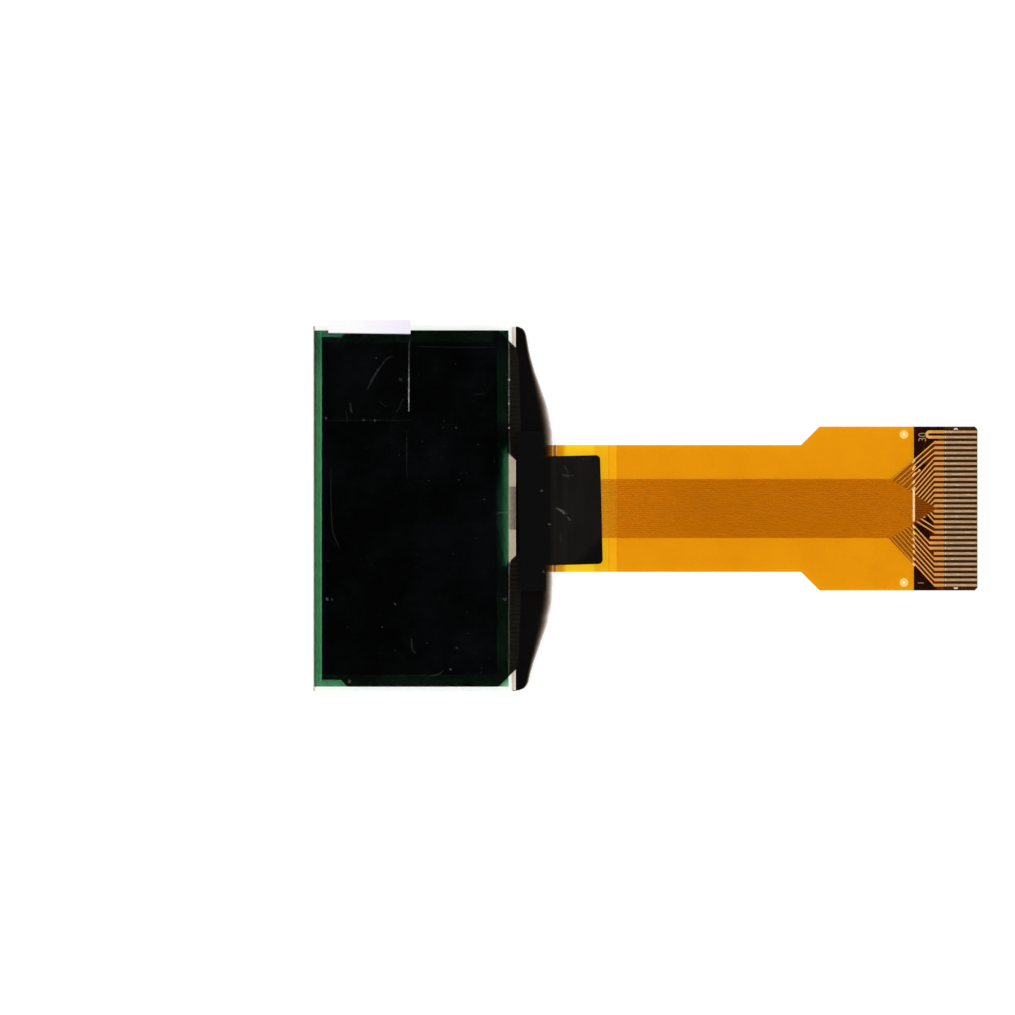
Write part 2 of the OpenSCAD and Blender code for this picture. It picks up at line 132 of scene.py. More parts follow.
def finish_piece(piece, made, slot, *replaced):
    """Gives a piece its material and its body, and hides the nodes that it stands for. The slot is not
    used.
    """
    piece.data.materials.clear()
    piece.data.materials.append(made)
    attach(piece, "root")
    if replaced:
        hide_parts(*replaced)
    print(piece.name, "faces:", len(piece.data.polygons), "material:", made.name)


def repaint(node, made):
    """A CAD node keeps its mesh and takes a better material."""
    nodes[node].data.materials.clear()
    nodes[node].data.materials.append(made)
    print(node, "material:", made.name)


print("one face of a half-grey sheet lets through", round(per_face("#BCBCBC")[0], 3))

# %% [markdown]
# Places come from the CAD boxes: the glass's two edges, the line where the rear glass ends and
# the ledge begins, and the stiffener and the contacts along the tail.

# %% Places along the module
front_lo, front_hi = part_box("front_glass")
_, rear_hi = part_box("rear_glass")
film_lo, film_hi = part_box("protective_film")
tab_lo, tab_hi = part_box("pull_tab")
_, tail_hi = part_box("tail_base_film")
plate_lo, plate_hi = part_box("contact_plating")
stiff_lo, stiff_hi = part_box("tail_stiffener")
cover_lo, cover_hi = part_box("front_coverlay")
back_lo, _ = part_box("back_coverlay")
coat_lo, coat_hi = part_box("ledge_coating")
bond_lo, bond_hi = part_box("tail_bond_film")
far_x, edge_x, ledge_x = front_lo.x, front_hi.x, rear_hi.x
middle = (cad_box[0] + cad_box[1]) / 2
tail_half = bond_hi.y
for label, x in (("ledge", ledge_x), ("glass edge", edge_x), ("stiffener", stiff_lo.x),
                 ("contacts", plate_lo.x), ("end", tail_hi.x)):
    print(label, "at", round(x / MM, 2), "mm")

# %% [markdown]
# The camera looks straight down through a long lens, so that the glass shows no sides. It stands
# over a point a little towards the panel, and the whole module fits across the frame.

# %% Camera
LENS, SENSOR = 150, 36
FRAME_WIDTH = 95.94 * MM
# What the camera stands over and is focused on, from the middle of the CAD box
AIM_X, AIM_Y, AIM_Z = -13.054 * MM, -0.166 * MM, -0.2 * MM
camera_data = bpy.data.cameras.new("long_lens")
camera_data.lens = LENS
camera_data.sensor_width = SENSOR
camera = bpy.data.objects.new("camera", camera_data)
scene.collection.objects.link(camera)
stand_off = FRAME_WIDTH * LENS / SENSOR
camera.location = middle + Vector((AIM_X, AIM_Y, stand_off + AIM_Z))
scene.camera = camera
print("camera height:", round(camera.location.z, 3), "m")

# %% [markdown]
# A product like this is shot in a light tent: white cloth all round and a dark gap overhead for
# the camera. Flat glossy faces mirror that gap and go black, while edges, dents and round copper
# catch the cloth. The world is that tent. To the camera it is plain white, and so is the floor,
# which still takes a share of real light so that the module's shadow shows on it.

# %% World and floor
world = bpy.data.worlds.new("light_tent")
scene.world = world
world.use_nodes = True
sky = world.node_tree
sky.nodes.clear()
up = add(sky, "ShaderNodeSeparateXYZ", {0: add(sky, "ShaderNodeTexCoord", out="Generated")}, out="Z")
# From cloth at the sides to the dark gap overhead, as strengths by the height of a direction
cloth = add(sky, "ShaderNodeMapRange", {0: up, 1: 0.45, 2: 0.94, 3: 0.95, 4: 0.02},
            interpolation_type="SMOOTHSTEP")
seen = add(sky, "ShaderNodeLightPath", out="Is Camera Ray")
level = add(sky, "ShaderNodeMix", {0: seen, 2: cloth, 3: 1.0}, data_type="FLOAT")
add(sky, "ShaderNodeOutputWorld",
    {"Surface": add(sky, "ShaderNodeBackground", {"Color": rgb("#FFFFFF"), "Strength": level})})

FLOOR = 0.7                  # half its width, in metres
FLOOR_GAP = 0.02 * MM
FLOOR_GLOW = 0.76            # its own light to the camera; the lamps add the rest of the white
UNDER_GLOW = 0.6             # its own light to the module's underside


def floor_shader(tree):
    """White to the camera, partly by real light; a pale table to every other ray."""
    own = add(tree, "ShaderNodeEmission", {"Color": rgb("#FFFFFF"), "Strength": FLOOR_GLOW})
    lit = add(tree, "ShaderNodeBsdfDiffuse", {"Color": rgb("#A0A0A0")})
    shown = add(tree, "ShaderNodeAddShader", {0: own, 1: lit})
    table = add(tree, "ShaderNodeBsdfDiffuse", {"Color": rgb("#E6E6E6")})
    rays = add(tree, "ShaderNodeLightPath", out="Ray Length")
    camera_ray = rays.node.outputs["Is Camera Ray"]
    # The module's underside lies so close that no light gets in, so the table lights it itself
    close = add(tree, "ShaderNodeMapRange", {0: rays, 1: 0.8 * MM, 2: 1.6 * MM, 3: UNDER_GLOW, 4: 0.0})
    below = add(tree, "ShaderNodeEmission", {"Color": rgb("#FFFFFF"), "Strength": close})
    table = add(tree, "ShaderNodeAddShader", {0: table, 1: below})
    both = add(tree, "ShaderNodeMixShader", {0: camera_ray, 1: table, 2: shown})
    # From below, the floor is left out of the view
    behind = add(tree, "ShaderNodeNewGeometry", out="Backfacing")
    return add(tree, "ShaderNodeMixShader",
               {0: behind, 1: both, 2: add(tree, "ShaderNodeBsdfTransparent")})


floor_mesh = bpy.data.meshes.new("table")
floor_mesh.from_pydata([(x * FLOOR, y * FLOOR, cad_box[0].z - FLOOR_GAP)
                        for x, y in ((-1, -1), (1, -1), (1, 1), (-1, 1))], [], [(0, 1, 2, 3)])
floor = new_object("table", floor_mesh)
floor_mesh.materials.append(new_material("white_table", floor_shader))
print("floor half width:", FLOOR, "m")

# %% [markdown]
# Soft lamps stand behind the cloth, off to the sides, so that none is mirrored by a face that
# looks straight up. One is higher than the rest: rough metal such as the plated contacts takes
# its shine from it.

# %% Lamps
# Turn about the module and height above it, both in degrees, then size in metres and power
LAMPS = {
    "window_side": (20, 62, 0.16, 0.38),
    "far_side": (110, 42, 0.40, 0.62),
    "left_side": (200, 42, 0.40, 0.56),
    "near_side": (300, 46, 0.36, 0.60),
}
LAMP_DISTANCE = 0.5
for name, (turn, height, size, power) in LAMPS.items():
    lamp = bpy.data.lights.new(name, "AREA")
    lamp.shape = "DISK"
    lamp.size, lamp.energy = size, power
    holder = bpy.data.objects.new(name, lamp)
    scene.collection.objects.link(holder)
    a, e = math.radians(turn), math.radians(height)
    towards = Vector((math.cos(a) * math.cos(e), math.sin(a) * math.cos(e), math.sin(e)))
    holder.location = middle + towards * LAMP_DISTANCE
    holder.rotation_euler = towards.to_track_quat("Z", "Y").to_euler()
    print(name, "power:", power, "W")

# %% [markdown]
# A clear sheet is a closed shell whose faces let light straight through with a tint, and mirror a
# little of the tent on the outside by Fresnel's rule. Real refraction would bend rays by less
# than a sheet's thickness here, so straight rays look the same, stay quick and keep shadows
# light. One builder makes the shader, and one makes the shell from a CAD node: the copy is
# merged, and its faces are drawn in by two thousandths of a millimetre.

# %% Builder of clear sheets
def clear_shader(tree, tint, mirror=1.0, roughness=0.03, bump=None):
    """Straight-through light with a tint, and a Fresnel mirror on the outer faces."""
    inside = add(tree, "ShaderNodeNewGeometry", out="Backfacing")
    outside = add(tree, "ShaderNodeMath", {0: mirror, 1: inside}, operation="SUBTRACT", use_clamp=True)
    fresnel = add(tree, "ShaderNodeFresnel", {"IOR": 1.5})
    share = add(tree, "ShaderNodeMath", {0: fresnel, 1: outside}, operation="MULTIPLY")
    through = add(tree, "ShaderNodeBsdfTransparent", {"Color": tint})
    gloss = add(tree, "ShaderNodeBsdfGlossy",
                {"Roughness": roughness, **({"Normal": bump} if bump else {})})
    return add(tree, "ShaderNodeMixShader", {0: share, 1: through, 2: gloss})


def reshaped_copy(node, name, moves):
    """A merged copy of a CAD node, whose corners take the moves that a function of them gives."""
    source = nodes[node].data
    mesh = bpy.data.meshes.new(name)
    mesh.from_pydata([v.co for v in source.vertices], [], [tuple(p.vertices) for p in source.polygons])
    shell = bmesh.new()
    shell.from_mesh(mesh)
    bmesh.ops.remove_doubles(shell, verts=shell.verts, dist=SAME)
    shell.normal_update()
    for v, move in moves(shell.verts):
        v.co += move
    shell.to_mesh(mesh)
    shell.free()
    return new_object(name, mesh)


def drawn_in(corners):
    """Moves that draw every face in by a sliver."""
    return [(v, -v.normal * min(v.calc_shell_factor(), 3) * CLEAR) for v in corners]


def finish_sheet(node, name, made, slot):
    """A clear piece in place of a CAD node: the node's shape, drawn in, with its finish."""
    finish_piece(reshaped_copy(node, name, drawn_in), made, slot, node)


print("sheets are drawn in by", CLEAR / MM, "mm")

# %% [markdown]
# Finishes are mixed from the same few parts: where a point lies in the frame, how near it is to a
# line, shares that must all hold, colours laid over one another, and soft patches of two colours.
# Each is a short tool. Colours come as hex codes with the function that reads them: rgb for an
# opaque surface, per_face for a clear sheet.

# %% Tools for finishes
def position(tree):
    """Where a point lies in the frame: its whole place, then its X and its Y."""
    place = add(tree, "ShaderNodeTexCoord", out="Object")
    along = add(tree, "ShaderNodeSeparateXYZ", {0: place})
    return place, along, along.node.outputs["Y"]


def near(tree, along, value, inner, outer):
    """1 at a value along an axis, fading to 0 from inner to outer away from it."""
    away = add(tree, "ShaderNodeMath", {0: along, 1: value}, operation="SUBTRACT")
    away = add(tree, "ShaderNodeMath", {0: away}, operation="ABSOLUTE")
    return add(tree, "ShaderNodeMapRange", {0: away, 1: inner, 2: outer, 3: 1.0, 4: 0.0},
               interpolation_type="SMOOTHSTEP")


def all_of(tree, share, *others):
    """The product of shares, which is 1 only where they all are."""
    for other in others:
        share = add(tree, "ShaderNodeMath", {0: share, 1: other}, operation="MULTIPLY")
    return share


def laid_over(tree, read, colour, *layers):
    """A colour with others laid over it in turn, each by its own share."""
    for share, over in layers:
        colour, over = [read(c) if isinstance(c, str) else c for c in (colour, over)]
        colour = add(tree, "ShaderNodeMix", {0: share, 6: colour, 7: over}, data_type="RGBA", out=2)
    return colour


def patches(tree, read, size, detail, low, high, stretch=None):
    """Soft patches of two colours: their colour, and the noise that they follow."""
    place = position(tree)[0]
    if stretch:
        place = add(tree, "ShaderNodeMapping", {"Vector": place, "Scale": stretch})
    noise = add(tree, "ShaderNodeTexNoise", {"Vector": place, "Scale": 1 / size, "Detail": detail})
    return laid_over(tree, read, low, (noise, high)), noise


def two_tone_shader(tree, size, detail, low, high, surface):
    """An opaque surface in soft patches of two colours."""
    tone, _ = patches(tree, rgb, size, detail, low, high)
    return add(tree, "ShaderNodeBsdfPrincipled", {"Base Color": tone, **surface})


def facing_up(tree, kind="Normal"):
    """How far a face points up: 1 for a top, 0 for a side, -1 for an underside."""
    normal = add(tree, "ShaderNodeNewGeometry", out=kind)
    return add(tree, "ShaderNodeSeparateXYZ", {0: normal}, out="Z")


print("patches of half a millimetre take a noise scale of", round(1 / (0.5 * MM)))

# %% [markdown]
# Both glasses are thin soda-lime float glass, scribed and snapped to size. The big faces are
# clear, and the snapped edges look frosted and a little brown where light gathers in them. The
# bevel over the tail is ground, so it is frosted too, and two pale lines are painted along it where
# the tail passes behind, as highlights.

# %% Glass
def glass_shader(tree):
    """Clear on its big faces, brownish at its far edge, frosted where snapped or ground; painted bevel
    highlights.
    """
    place, along, across = position(tree)
    streaks = add(tree, "ShaderNodeTexNoise",
                  {"Vector": place, "Scale": 1 / (1.2 * MM), "Detail": 3.0})
    uneven = add(tree, "ShaderNodeMapRange", {0: streaks, 1: 0.3, 2: 0.7, 3: 0.55, 4: 1.0})
    rim = all_of(tree, near(tree, along, far_x, 0.10 * MM, 0.22 * MM), uneven)
    tint = laid_over(tree, per_face, "#FEFFFE", (rim, "#E8D8CC"))
    facing = add(tree, "ShaderNodeMath", {0: facing_up(tree)}, operation="ABSOLUTE")
    snapped = add(tree, "ShaderNodeMapRange", {0: facing, 1: 0.3, 2: 0.7, 3: 0.15, 4: 0.0})
    bevel_highlights = add(tree, "ShaderNodeMath",
                  {0: near(tree, along, edge_x - 0.37 * MM, 0.0, 0.06 * MM),
                   1: near(tree, along, edge_x, 0.02 * MM, 0.11 * MM)}, operation="MAXIMUM")
    # Two painted highlight lines along the bevel, shown only where the amber tail passes behind them
    bevel_highlights = all_of(tree, bevel_highlights, near(tree, across, 0.0, tail_half - 0.03 * MM, tail_half))
    snapped = add(tree, "ShaderNodeMath", {0: bevel_highlights, 1: 0.3, 2: snapped}, operation="MULTIPLY_ADD")
    clear = clear_shader(tree, tint, mirror=0.45)
    pale = laid_over(tree, rgb, "#E4EEE8", (bevel_highlights, "#FFDC84"))
    frost = add(tree, "ShaderNodeBsdfPrincipled",
                {"Base Color": pale, "Roughness": 0.45, "IOR": 1.52})
    return add(tree, "ShaderNodeMixShader", {0: snapped, 1: clear, 2: frost})


glass = new_material("float_glass", glass_shader)
for pane in ("front_glass", "rear_glass"):
    finish_sheet(pane, pane + "_pane", glass, "glass")

# %% [markdown]
# The bead that seals the glasses is cured epoxy. Squeezed between them it stays clear, and along
# the ledge it is tinted cream.

# %% Sealing bead
WINDOW_HALF = 4.95 * MM    # half the length of the bare ledge that the clear window shows


def bead_shader(tree):
    """Clear, but cream along the ledge and in shade beside the clear window."""
    place, along, across = position(tree)
    away = add(tree, "ShaderNodeMath", {0: across}, operation="ABSOLUTE")
    wander = add(tree, "ShaderNodeTexNoise",
                 {"Vector": place, "Scale": 1 / (2.5 * MM), "Detail": 2.0})
    along = add(tree, "ShaderNodeMath", {0: wander, 1: 0.08 * MM, 2: along}, operation="MULTIPLY_ADD")
    begins = add(tree, "ShaderNodeMapRange", {0: away, 1: 8 * MM, 2: 10 * MM,
                                              3: ledge_x - 0.8 * MM, 4: ledge_x - 0.46 * MM})
    past = add(tree, "ShaderNodeMath", {0: along, 1: begins}, operation="SUBTRACT")
    cream = add(tree, "ShaderNodeMapRange", {0: past, 1: 0.0, 2: 0.1 * MM})
    ends = add(tree, "ShaderNodeMapRange", {0: away, 1: 12 * MM, 2: 13 * MM})
    cream_tone = laid_over(tree, per_face, "#C3B39F", (ends, "#DCCBBA"))
    far = add(tree, "ShaderNodeMapRange", {0: past, 1: 0.22 * MM, 2: 0.34 * MM})
    beside = add(tree, "ShaderNodeMapRange",
                 {0: away, 1: WINDOW_HALF + 0.02 * MM, 2: WINDOW_HALF + 0.3 * MM})
    before = add(tree, "ShaderNodeMapRange", {0: away, 1: 8.6 * MM, 2: 9.6 * MM, 3: 1.0, 4: 0.0})
    right = add(tree, "ShaderNodeMapRange", {0: along, 1: film_hi.x - 0.15 * MM, 2: film_hi.x - 0.05 * MM})
    tint = laid_over(tree, per_face, "#FEFEFD", (cream, cream_tone), (all_of(tree, far, ends), "#F0E6DA"),
                     (all_of(tree, beside, before, right), "#343633"))
    return clear_shader(tree, tint, mirror=0.05)


finish_sheet("edge_seal", "sealing_bead", new_material("cured_epoxy_bead", bead_shader), "sealant")

# %% [markdown]
# Behind the front glass lie the layers that make light, a few thousandths of a millimetre in all.
# Seen through the polarizer they are black. Their back is the metal cathode, which shows through
# the rear glass. A faint grid of dots repeats every 0.23 mm, as in any panel of 64 by 128 dots.

# %% Light-emitting layers
def crossed_waves(tree, pitch):
    """A grid of soft spots that repeats by a pitch along X and Y."""
    # A wave texture's band repeats every 2 pi / 20 of its scale
    inputs = {"Vector": position(tree)[0], "Scale": 2 * math.pi / (20 * pitch)}
    rows, columns = [add(tree, "ShaderNodeTexWave", inputs, out=1, bands_direction=axis)
                     for axis in "XY"]
    return all_of(tree, rows, columns)


def layers_shader(tree):
    """Black with a trace of the dot grid in front, rolled-looking metal behind."""
    dark = laid_over(tree, rgb, "#07080C", (crossed_waves(tree, 0.23 * MM), "#13151B"))
    front = add(tree, "ShaderNodeBsdfPrincipled",
                {"Base Color": dark, "Roughness": 0.3, "Specular IOR Level": 0.2})
    metal, _ = patches(tree, rgb, 4 * MM, 4.0, "#B9BCC0", "#DADBDD")
    back = add(tree, "ShaderNodeBsdfPrincipled",
               {"Base Color": metal, "Metallic": 1.0, "Roughness": 0.32})
    behind = add(tree, "ShaderNodeMath", {0: facing_up(tree), 1: 0.0}, operation="LESS_THAN")
    return add(tree, "ShaderNodeMixShader", {0: behind, 1: front, 2: back})


repaint("emitting_layers", new_material("oled_layers", layers_shader))

# %% [markdown]
# Fine metal wiring frames the lit area and runs out to the ledge. The lines are thinner than the
# eye can part, so the whole frame reads as a dark brown veil that lets a little light by between
# its lines. On the bare ledge strip single leads are drawn as coarse as they need to show.

# %% Wiring on the glass
LEADS_HALF, LEADS_MIDDLE = 2.0 * MM, 0.05 * MM    # the band of leads that cross the window


def wiring_shader(tree):
    """A dark veil of fine lines, nearly closed on the bare ledge and a little open elsewhere."""
    place, along, across = position(tree)
    leads = add(tree, "ShaderNodeTexWave",
                {"Vector": place, "Scale": 2 * math.pi / (20 * 0.42 * MM), "Distortion": 1.2,
                 "Detail": 2.0, "Detail Scale": 1.5}, out=1, bands_direction="Y")
    blotch = add(tree, "ShaderNodeTexNoise", {"Vector": place, "Scale": 1 / (1.6 * MM), "Detail": 3.0})
    metal = laid_over(tree, rgb, "#12100D", (all_of(tree, leads, blotch), "#241D17"))
    solid = add(tree, "ShaderNodeBsdfPrincipled",
                {"Base Color": metal, "Roughness": 0.35, "Specular IOR Level": 0.12})
    bare = add(tree, "ShaderNodeMapRange",
               {0: along, 1: film_hi.x - 0.05 * MM, 2: film_hi.x + 0.05 * MM, 3: 0.085, 4: 0.004})
    # The feed lines along the lower side lie closest together
    closer = add(tree, "ShaderNodeMapRange",
                 {0: across, 1: -15.9 * MM, 2: -15.5 * MM, 3: 0.65, 4: 1.0})
    opening = all_of(tree, bare, closer, blotch)
    opening = add(tree, "ShaderNodeMath", {0: opening, 1: 0.5}, operation="POWER")
    # Beside the window the metal is thin enough for a little light to come through it
    leak = all_of(tree, near(tree, along, film_hi.x - 0.55 * MM, 0.5 * MM, 0.6 * MM),
                  near(tree, across, 0.0, 5.0 * MM, 7.6 * MM))
    opening = add(tree, "ShaderNodeMath", {0: leak, 1: 0.5, 2: opening}, operation="MULTIPLY_ADD")
    # The broad lines across the window stand for the fine leads that are laid there further down
    window = all_of(tree, near(tree, along, film_hi.x, 1.3 * MM, 1.35 * MM),
                    near(tree, across, LEADS_MIDDLE, LEADS_HALF + 0.02 * MM, LEADS_HALF + 0.06 * MM))
    opening = add(tree, "ShaderNodeMath", {0: opening, 1: window}, operation="MAXIMUM")
    gap = add(tree, "ShaderNodeBsdfTransparent", {"Color": rgb("#FFF8F0")})
    return add(tree, "ShaderNodeMixShader", {0: opening, 1: solid, 2: gap})


repaint("panel_wiring", new_material("etched_metal_wiring", wiring_shader))

# %% [markdown]
# The drying sheet sits in the rear glass's recess and shows only from behind: pressed calcium
# oxide powder, matte and off-white, with a fine grain.

# %% Drying sheet
def powder_shader(tree):
    """Pressed white powder with a fine grain."""
    tone, grain = patches(tree, rgb, 0.25 * MM, 4.0, "#D4D2CA", "#F1F0EA")
    bump = add(tree, "ShaderNodeBump", {"Strength": 0.35, "Distance": 0.03 * MM, "Height": grain})
    return add(tree, "ShaderNodeBsdfPrincipled",
               {"Base Color": tone, "Roughness": 0.9, "Normal": bump})


repaint("drying_sheet", new_material("pressed_powder", powder_shader))

# %% [markdown]
# The polarizer is a stack of plastic films round stretched, dyed PVA. Over white it is a deep
# green, and over the black layers it disappears. Along its two long cuts light gets in and lifts
# the green, and where the chip, its silicone and the pull tab shade it, the green is deeper.

# %% Polarizer
def polarizer_shader(tree):
    """Deep green to light that passes, paler along the two long cuts, darker where it is shaded."""
    _, along, across = position(tree)
    away = add(tree, "ShaderNodeMath", {0: across}, operation="ABSOLUTE")
    cut = add(tree, "ShaderNodeMapRange",
              {0: away, 1: film_hi.y - 0.6 * MM, 2: film_hi.y - 0.15 * MM, 3: 0.0, 4: 1.0},
              interpolation_type="SMOOTHSTEP")
    dyed, _ = patches(tree, per_face, 3 * MM, 2.0, "#367A4C", "#408557")
    upper = add(tree, "ShaderNodeMapRange", {0: across, 1: -1 * MM, 2: 1 * MM})
    pale = laid_over(tree, per_face, "#4C8660", (upper, "#589670"))
    # Towards its outer cut the sheet is darker, most of all at the end with the pull tab
    outer = add(tree, "ShaderNodeMapRange", {0: along, 1: film_lo.x + 0.06 * MM,
                                             2: film_lo.x + 0.36 * MM, 3: 1.0, 4: 0.0})
    fades = add(tree, "ShaderNodeMapRange", {0: across, 1: 0.0, 2: film_hi.y, 3: 0.12, 4: 0.75})
    dusk = add(tree, "ShaderNodeMapRange", {0: across, 1: film_hi.y - 4.6 * MM,
                                            2: film_hi.y - 2.2 * MM, 3: 0.0, 4: 0.7})
    # A pale line is painted along the first line of dots under the sheet, as a glow
    glow = all_of(tree, near(tree, along, far_x + 0.74 * MM, 0.02 * MM, 0.08 * MM), 0.4)
    # The stuck part of the pull tab shades the far end of the upper cut
    tabbed = add(tree, "ShaderNodeMapRange",
                 {0: across, 1: film_hi.y - 0.58 * MM, 2: film_hi.y - 0.46 * MM})
    short = add(tree, "ShaderNodeMapRange",
                {0: along, 1: film_lo.x + 0.9 * MM, 2: film_lo.x + 1.2 * MM})
    far_end = add(tree, "ShaderNodeMapRange", {0: along, 1: film_lo.x + 1.3 * MM,
                                               2: film_lo.x + 3.3 * MM, 3: 1.0, 4: 0.0})
    # The chip and its silicone keep light from the clear window, most of all at its inner side
    inner = add(tree, "ShaderNodeMapRange",
                {0: along, 1: film_hi.x - 0.85 * MM, 2: film_hi.x, 3: 0.82, 4: 0.22},
                interpolation_type="SMOOTHSTEP")
    closes = add(tree, "ShaderNodeMapRange", {0: away, 1: 4.8 * MM, 2: 5.7 * MM, 3: 0.0, 4: 0.88})
    inner = add(tree, "ShaderNodeMath", {0: inner, 1: closes}, operation="MAXIMUM")
    window = add(tree, "ShaderNodeMapRange", {0: away, 1: 6.4 * MM, 2: 8.5 * MM, 3: 1.0, 4: 0.0})
    far_corner = add(tree, "ShaderNodeMapRange",
                     {0: across, 1: 15.2 * MM, 2: 15.6 * MM, 3: 0.0, 4: 0.75})
    window = add(tree, "ShaderNodeMath", {0: window, 1: far_corner}, operation="MAXIMUM")
    right = add(tree, "ShaderNodeMapRange", {0: along, 1: film_hi.x - 1.5 * MM, 2: film_hi.x - 1.3 * MM})
    # At the low corner beside the ledge nothing shades the sheet
    corner = add(tree, "ShaderNodeMath", {0: along, 1: across}, operation="SUBTRACT")
    corner = add(tree, "ShaderNodeMapRange", {0: corner, 1: film_hi.x - film_lo.y - 1.0 * MM,
                                              2: film_hi.x - film_lo.y - 0.1 * MM})
    tint = laid_over(tree, per_face, dyed, (cut, pale), (dusk, "#14583A"),
                     (all_of(tree, outer, fades), "#3C3A2E"), (glow, "#7FA893"),
                     (all_of(tree, tabbed, short, far_end), "#445450"),
                     (all_of(tree, inner, window, right), "#000A04"), (corner, "#8CCBA4"))
    return clear_shader(tree, tint, mirror=0.3)


finish_sheet("polarizer", "polarizer_sheet", new_material("dyed_pva_polarizer", polarizer_shader),
             "polarizing_sheet")

# %% [markdown]
# The protective film is thin PET that stays on until the display is fitted. It is glossy, and
# handling has left it with haze, hairlines and dust. The haze is in the material. Marks that
# stand out are built as geometry further down.

# %% Protective film
def film_shader(tree):
    """Glossy clear film with a trace of haze in soft patches."""
    cloud = add(tree, "ShaderNodeTexNoise", {"Vector": position(tree)[0], "Scale": 1 / (5 * MM),
                                             "Detail": 5.0, "Roughness": 0.6})
    ripple = add(tree, "ShaderNodeBump", {"Strength": 0.1, "Distance": 0.02 * MM, "Height": cloud})
    clear = clear_shader(tree, per_face("#FBFBFC"), roughness=0.05, bump=ripple)
    haze = add(tree, "ShaderNodeMapRange", {0: cloud, 1: 0.42, 2: 0.8, 3: 0.0, 4: 0.003})
    dull = add(tree, "ShaderNodeBsdfPrincipled", {"Base Color": rgb("#A6B2CC"), "Roughness": 0.6})
    return add(tree, "ShaderNodeMixShader", {0: haze, 1: clear, 2: dull})


finish_sheet("protective_film", "protective_sheet", new_material("scuffed_pet_film", film_shader),
             "clear_film")

# %% [markdown]
# The pull tab is a strip of the same PET stuck on top. Its free end, past the film's edge, is
# milky white with a touch of lilac. The stuck part is clear and shows only by its edges.

# %% Pull tab
MILKY_FROM = film_hi.y - 0.32 * MM
TAB_LEAN = 0.0124    # how far the milky line falls for each millimetre along the tab


def tab_shader(tree):
    """Milky at its free end, clear where it is stuck."""
    _, along, across = position(tree)
    slope = add(tree, "ShaderNodeMath", {0: along, 1: TAB_LEAN, 2: across}, operation="MULTIPLY_ADD")
    free = add(tree, "ShaderNodeMapRange",
               {0: slope, 1: MILKY_FROM - 0.06 * MM, 2: MILKY_FROM + 0.05 * MM, 3: 0.0, 4: 0.97})
    lilac = add(tree, "ShaderNodeMapRange", {0: along, 1: tab_lo.x + 2 * MM, 2: tab_hi.x, 3: 0.0, 4: 1.0})
    tone = laid_over(tree, rgb, "#FBFBFB", (lilac, "#F1EAFA"))
    milk = add(tree, "ShaderNodeBsdfPrincipled", {"Base Color": tone, "Roughness": 0.5})
    clear = clear_shader(tree, per_face("#FAFAFC"))
    return add(tree, "ShaderNodeMixShader", {0: free, 1: clear, 2: milk})


finish_sheet("pull_tab", "pull_tab_strip", new_material("milky_pet_tab", tab_shader), "tab_film")

# %% [markdown]
# The driver chip is bare silicon, bonded face down through a film full of conductive specks. The
# same film bonds the tail. Both are nearly hidden, but a look from the side or from below can
# still find them, so each gets its real finish.

# %% Chip and bond films
def silicon_shader(tree):
    """Polished silicon with faint saw marks."""
    saw = add(tree, "ShaderNodeTexWave", {"Vector": position(tree)[0], "Scale": 1 / (0.4 * MM),
                                          "Distortion": 1.0}, out=1, bands_direction="X")
    rough = add(tree, "ShaderNodeMapRange", {0: saw, 3: 0.16, 4: 0.3})
    tone = laid_over(tree, rgb, "#6B6E75", (saw, "#82858C"))
    return add(tree, "ShaderNodeBsdfPrincipled",
               {"Base Color": tone, "Metallic": 1.0, "Roughness": rough})


def bond_shader(tree, clear):
    """Straw-coloured cured resin full of gold specks, clear where light can get through it."""
    specks = add(tree, "ShaderNodeTexVoronoi",
                 {"Vector": position(tree)[0], "Scale": 1 / (0.06 * MM)})
    spot = add(tree, "ShaderNodeMapRange", {0: specks, 1: 0.1, 2: 0.3, 3: 1.0, 4: 0.0})
    tone = laid_over(tree, rgb, "#9A8F6B", (spot, "#D6B15A"))
    resin = add(tree, "ShaderNodeBsdfPrincipled", {"Base Color": tone, "Roughness": 0.35})
    solid = add(tree, "ShaderNodeMath", {0: spot, 1: 0.3, 2: 1 - clear}, operation="MULTIPLY_ADD",
                use_clamp=True)
    glassy = clear_shader(tree, per_face("#E4C79A"), mirror=0.1)
    return add(tree, "ShaderNodeMixShader", {0: solid, 1: glassy, 2: resin})


repaint("driver_chip", new_material("polished_silicon", silicon_shader))
repaint("chip_bond_film", new_material("conductive_bond_film", bond_shader, 0.1))
finish_sheet("tail_bond_film", "tail_bond",
             new_material("clear_conductive_bond", bond_shader, 1.0), "bond_film")

# %% [markdown]
# Black silicone is poured along the ledge after bonding, to keep light and damp off the chip. It
# wets the glass and runs out to a thin lip, where it turns from black to clear brown. The shape
# follows a rule: the width falls from the middle to both ends, and the section is a quarter of an
# oval. It is lofted here with far more stations than the CAD solid has. Each point stores its
# distance from the lip, as a share of how far the brown reaches, and the material reads that.

# %% Silicone coating: section
COAT_BARE = 0.35 * MM          # what is left of the ledge in the middle
COAT_END = 0.55 * MM           # its width towards the ends
COAT_SHOULDER, COAT_SHIFT = 4.4 * MM, -0.65 * MM
COAT_FALL = 6.5                # how suddenly its width falls at the shoulders
COAT_ROUND = 1.0 * MM          # how far from its two ends it starts to round off
COAT_TIP = 0.22                # what is left of its width at the very ends
COAT_CREEP = 0.08 * MM         # how far it creeps in between the glasses
COAT_TOP, COAT_UNDER = 9, 12   # points along the two sides of its section
# How far its two sides stay below the top of the tail, where the tail is bonded
TOP_BELOW, UNDER_BELOW, BEFORE_TAIL = 0.027 * MM, 0.03 * MM, 0.02 * MM
coat_deep = coat_hi.z - coat_lo.z
ledge_width = edge_x - ledge_x
half_length = front_hi.y


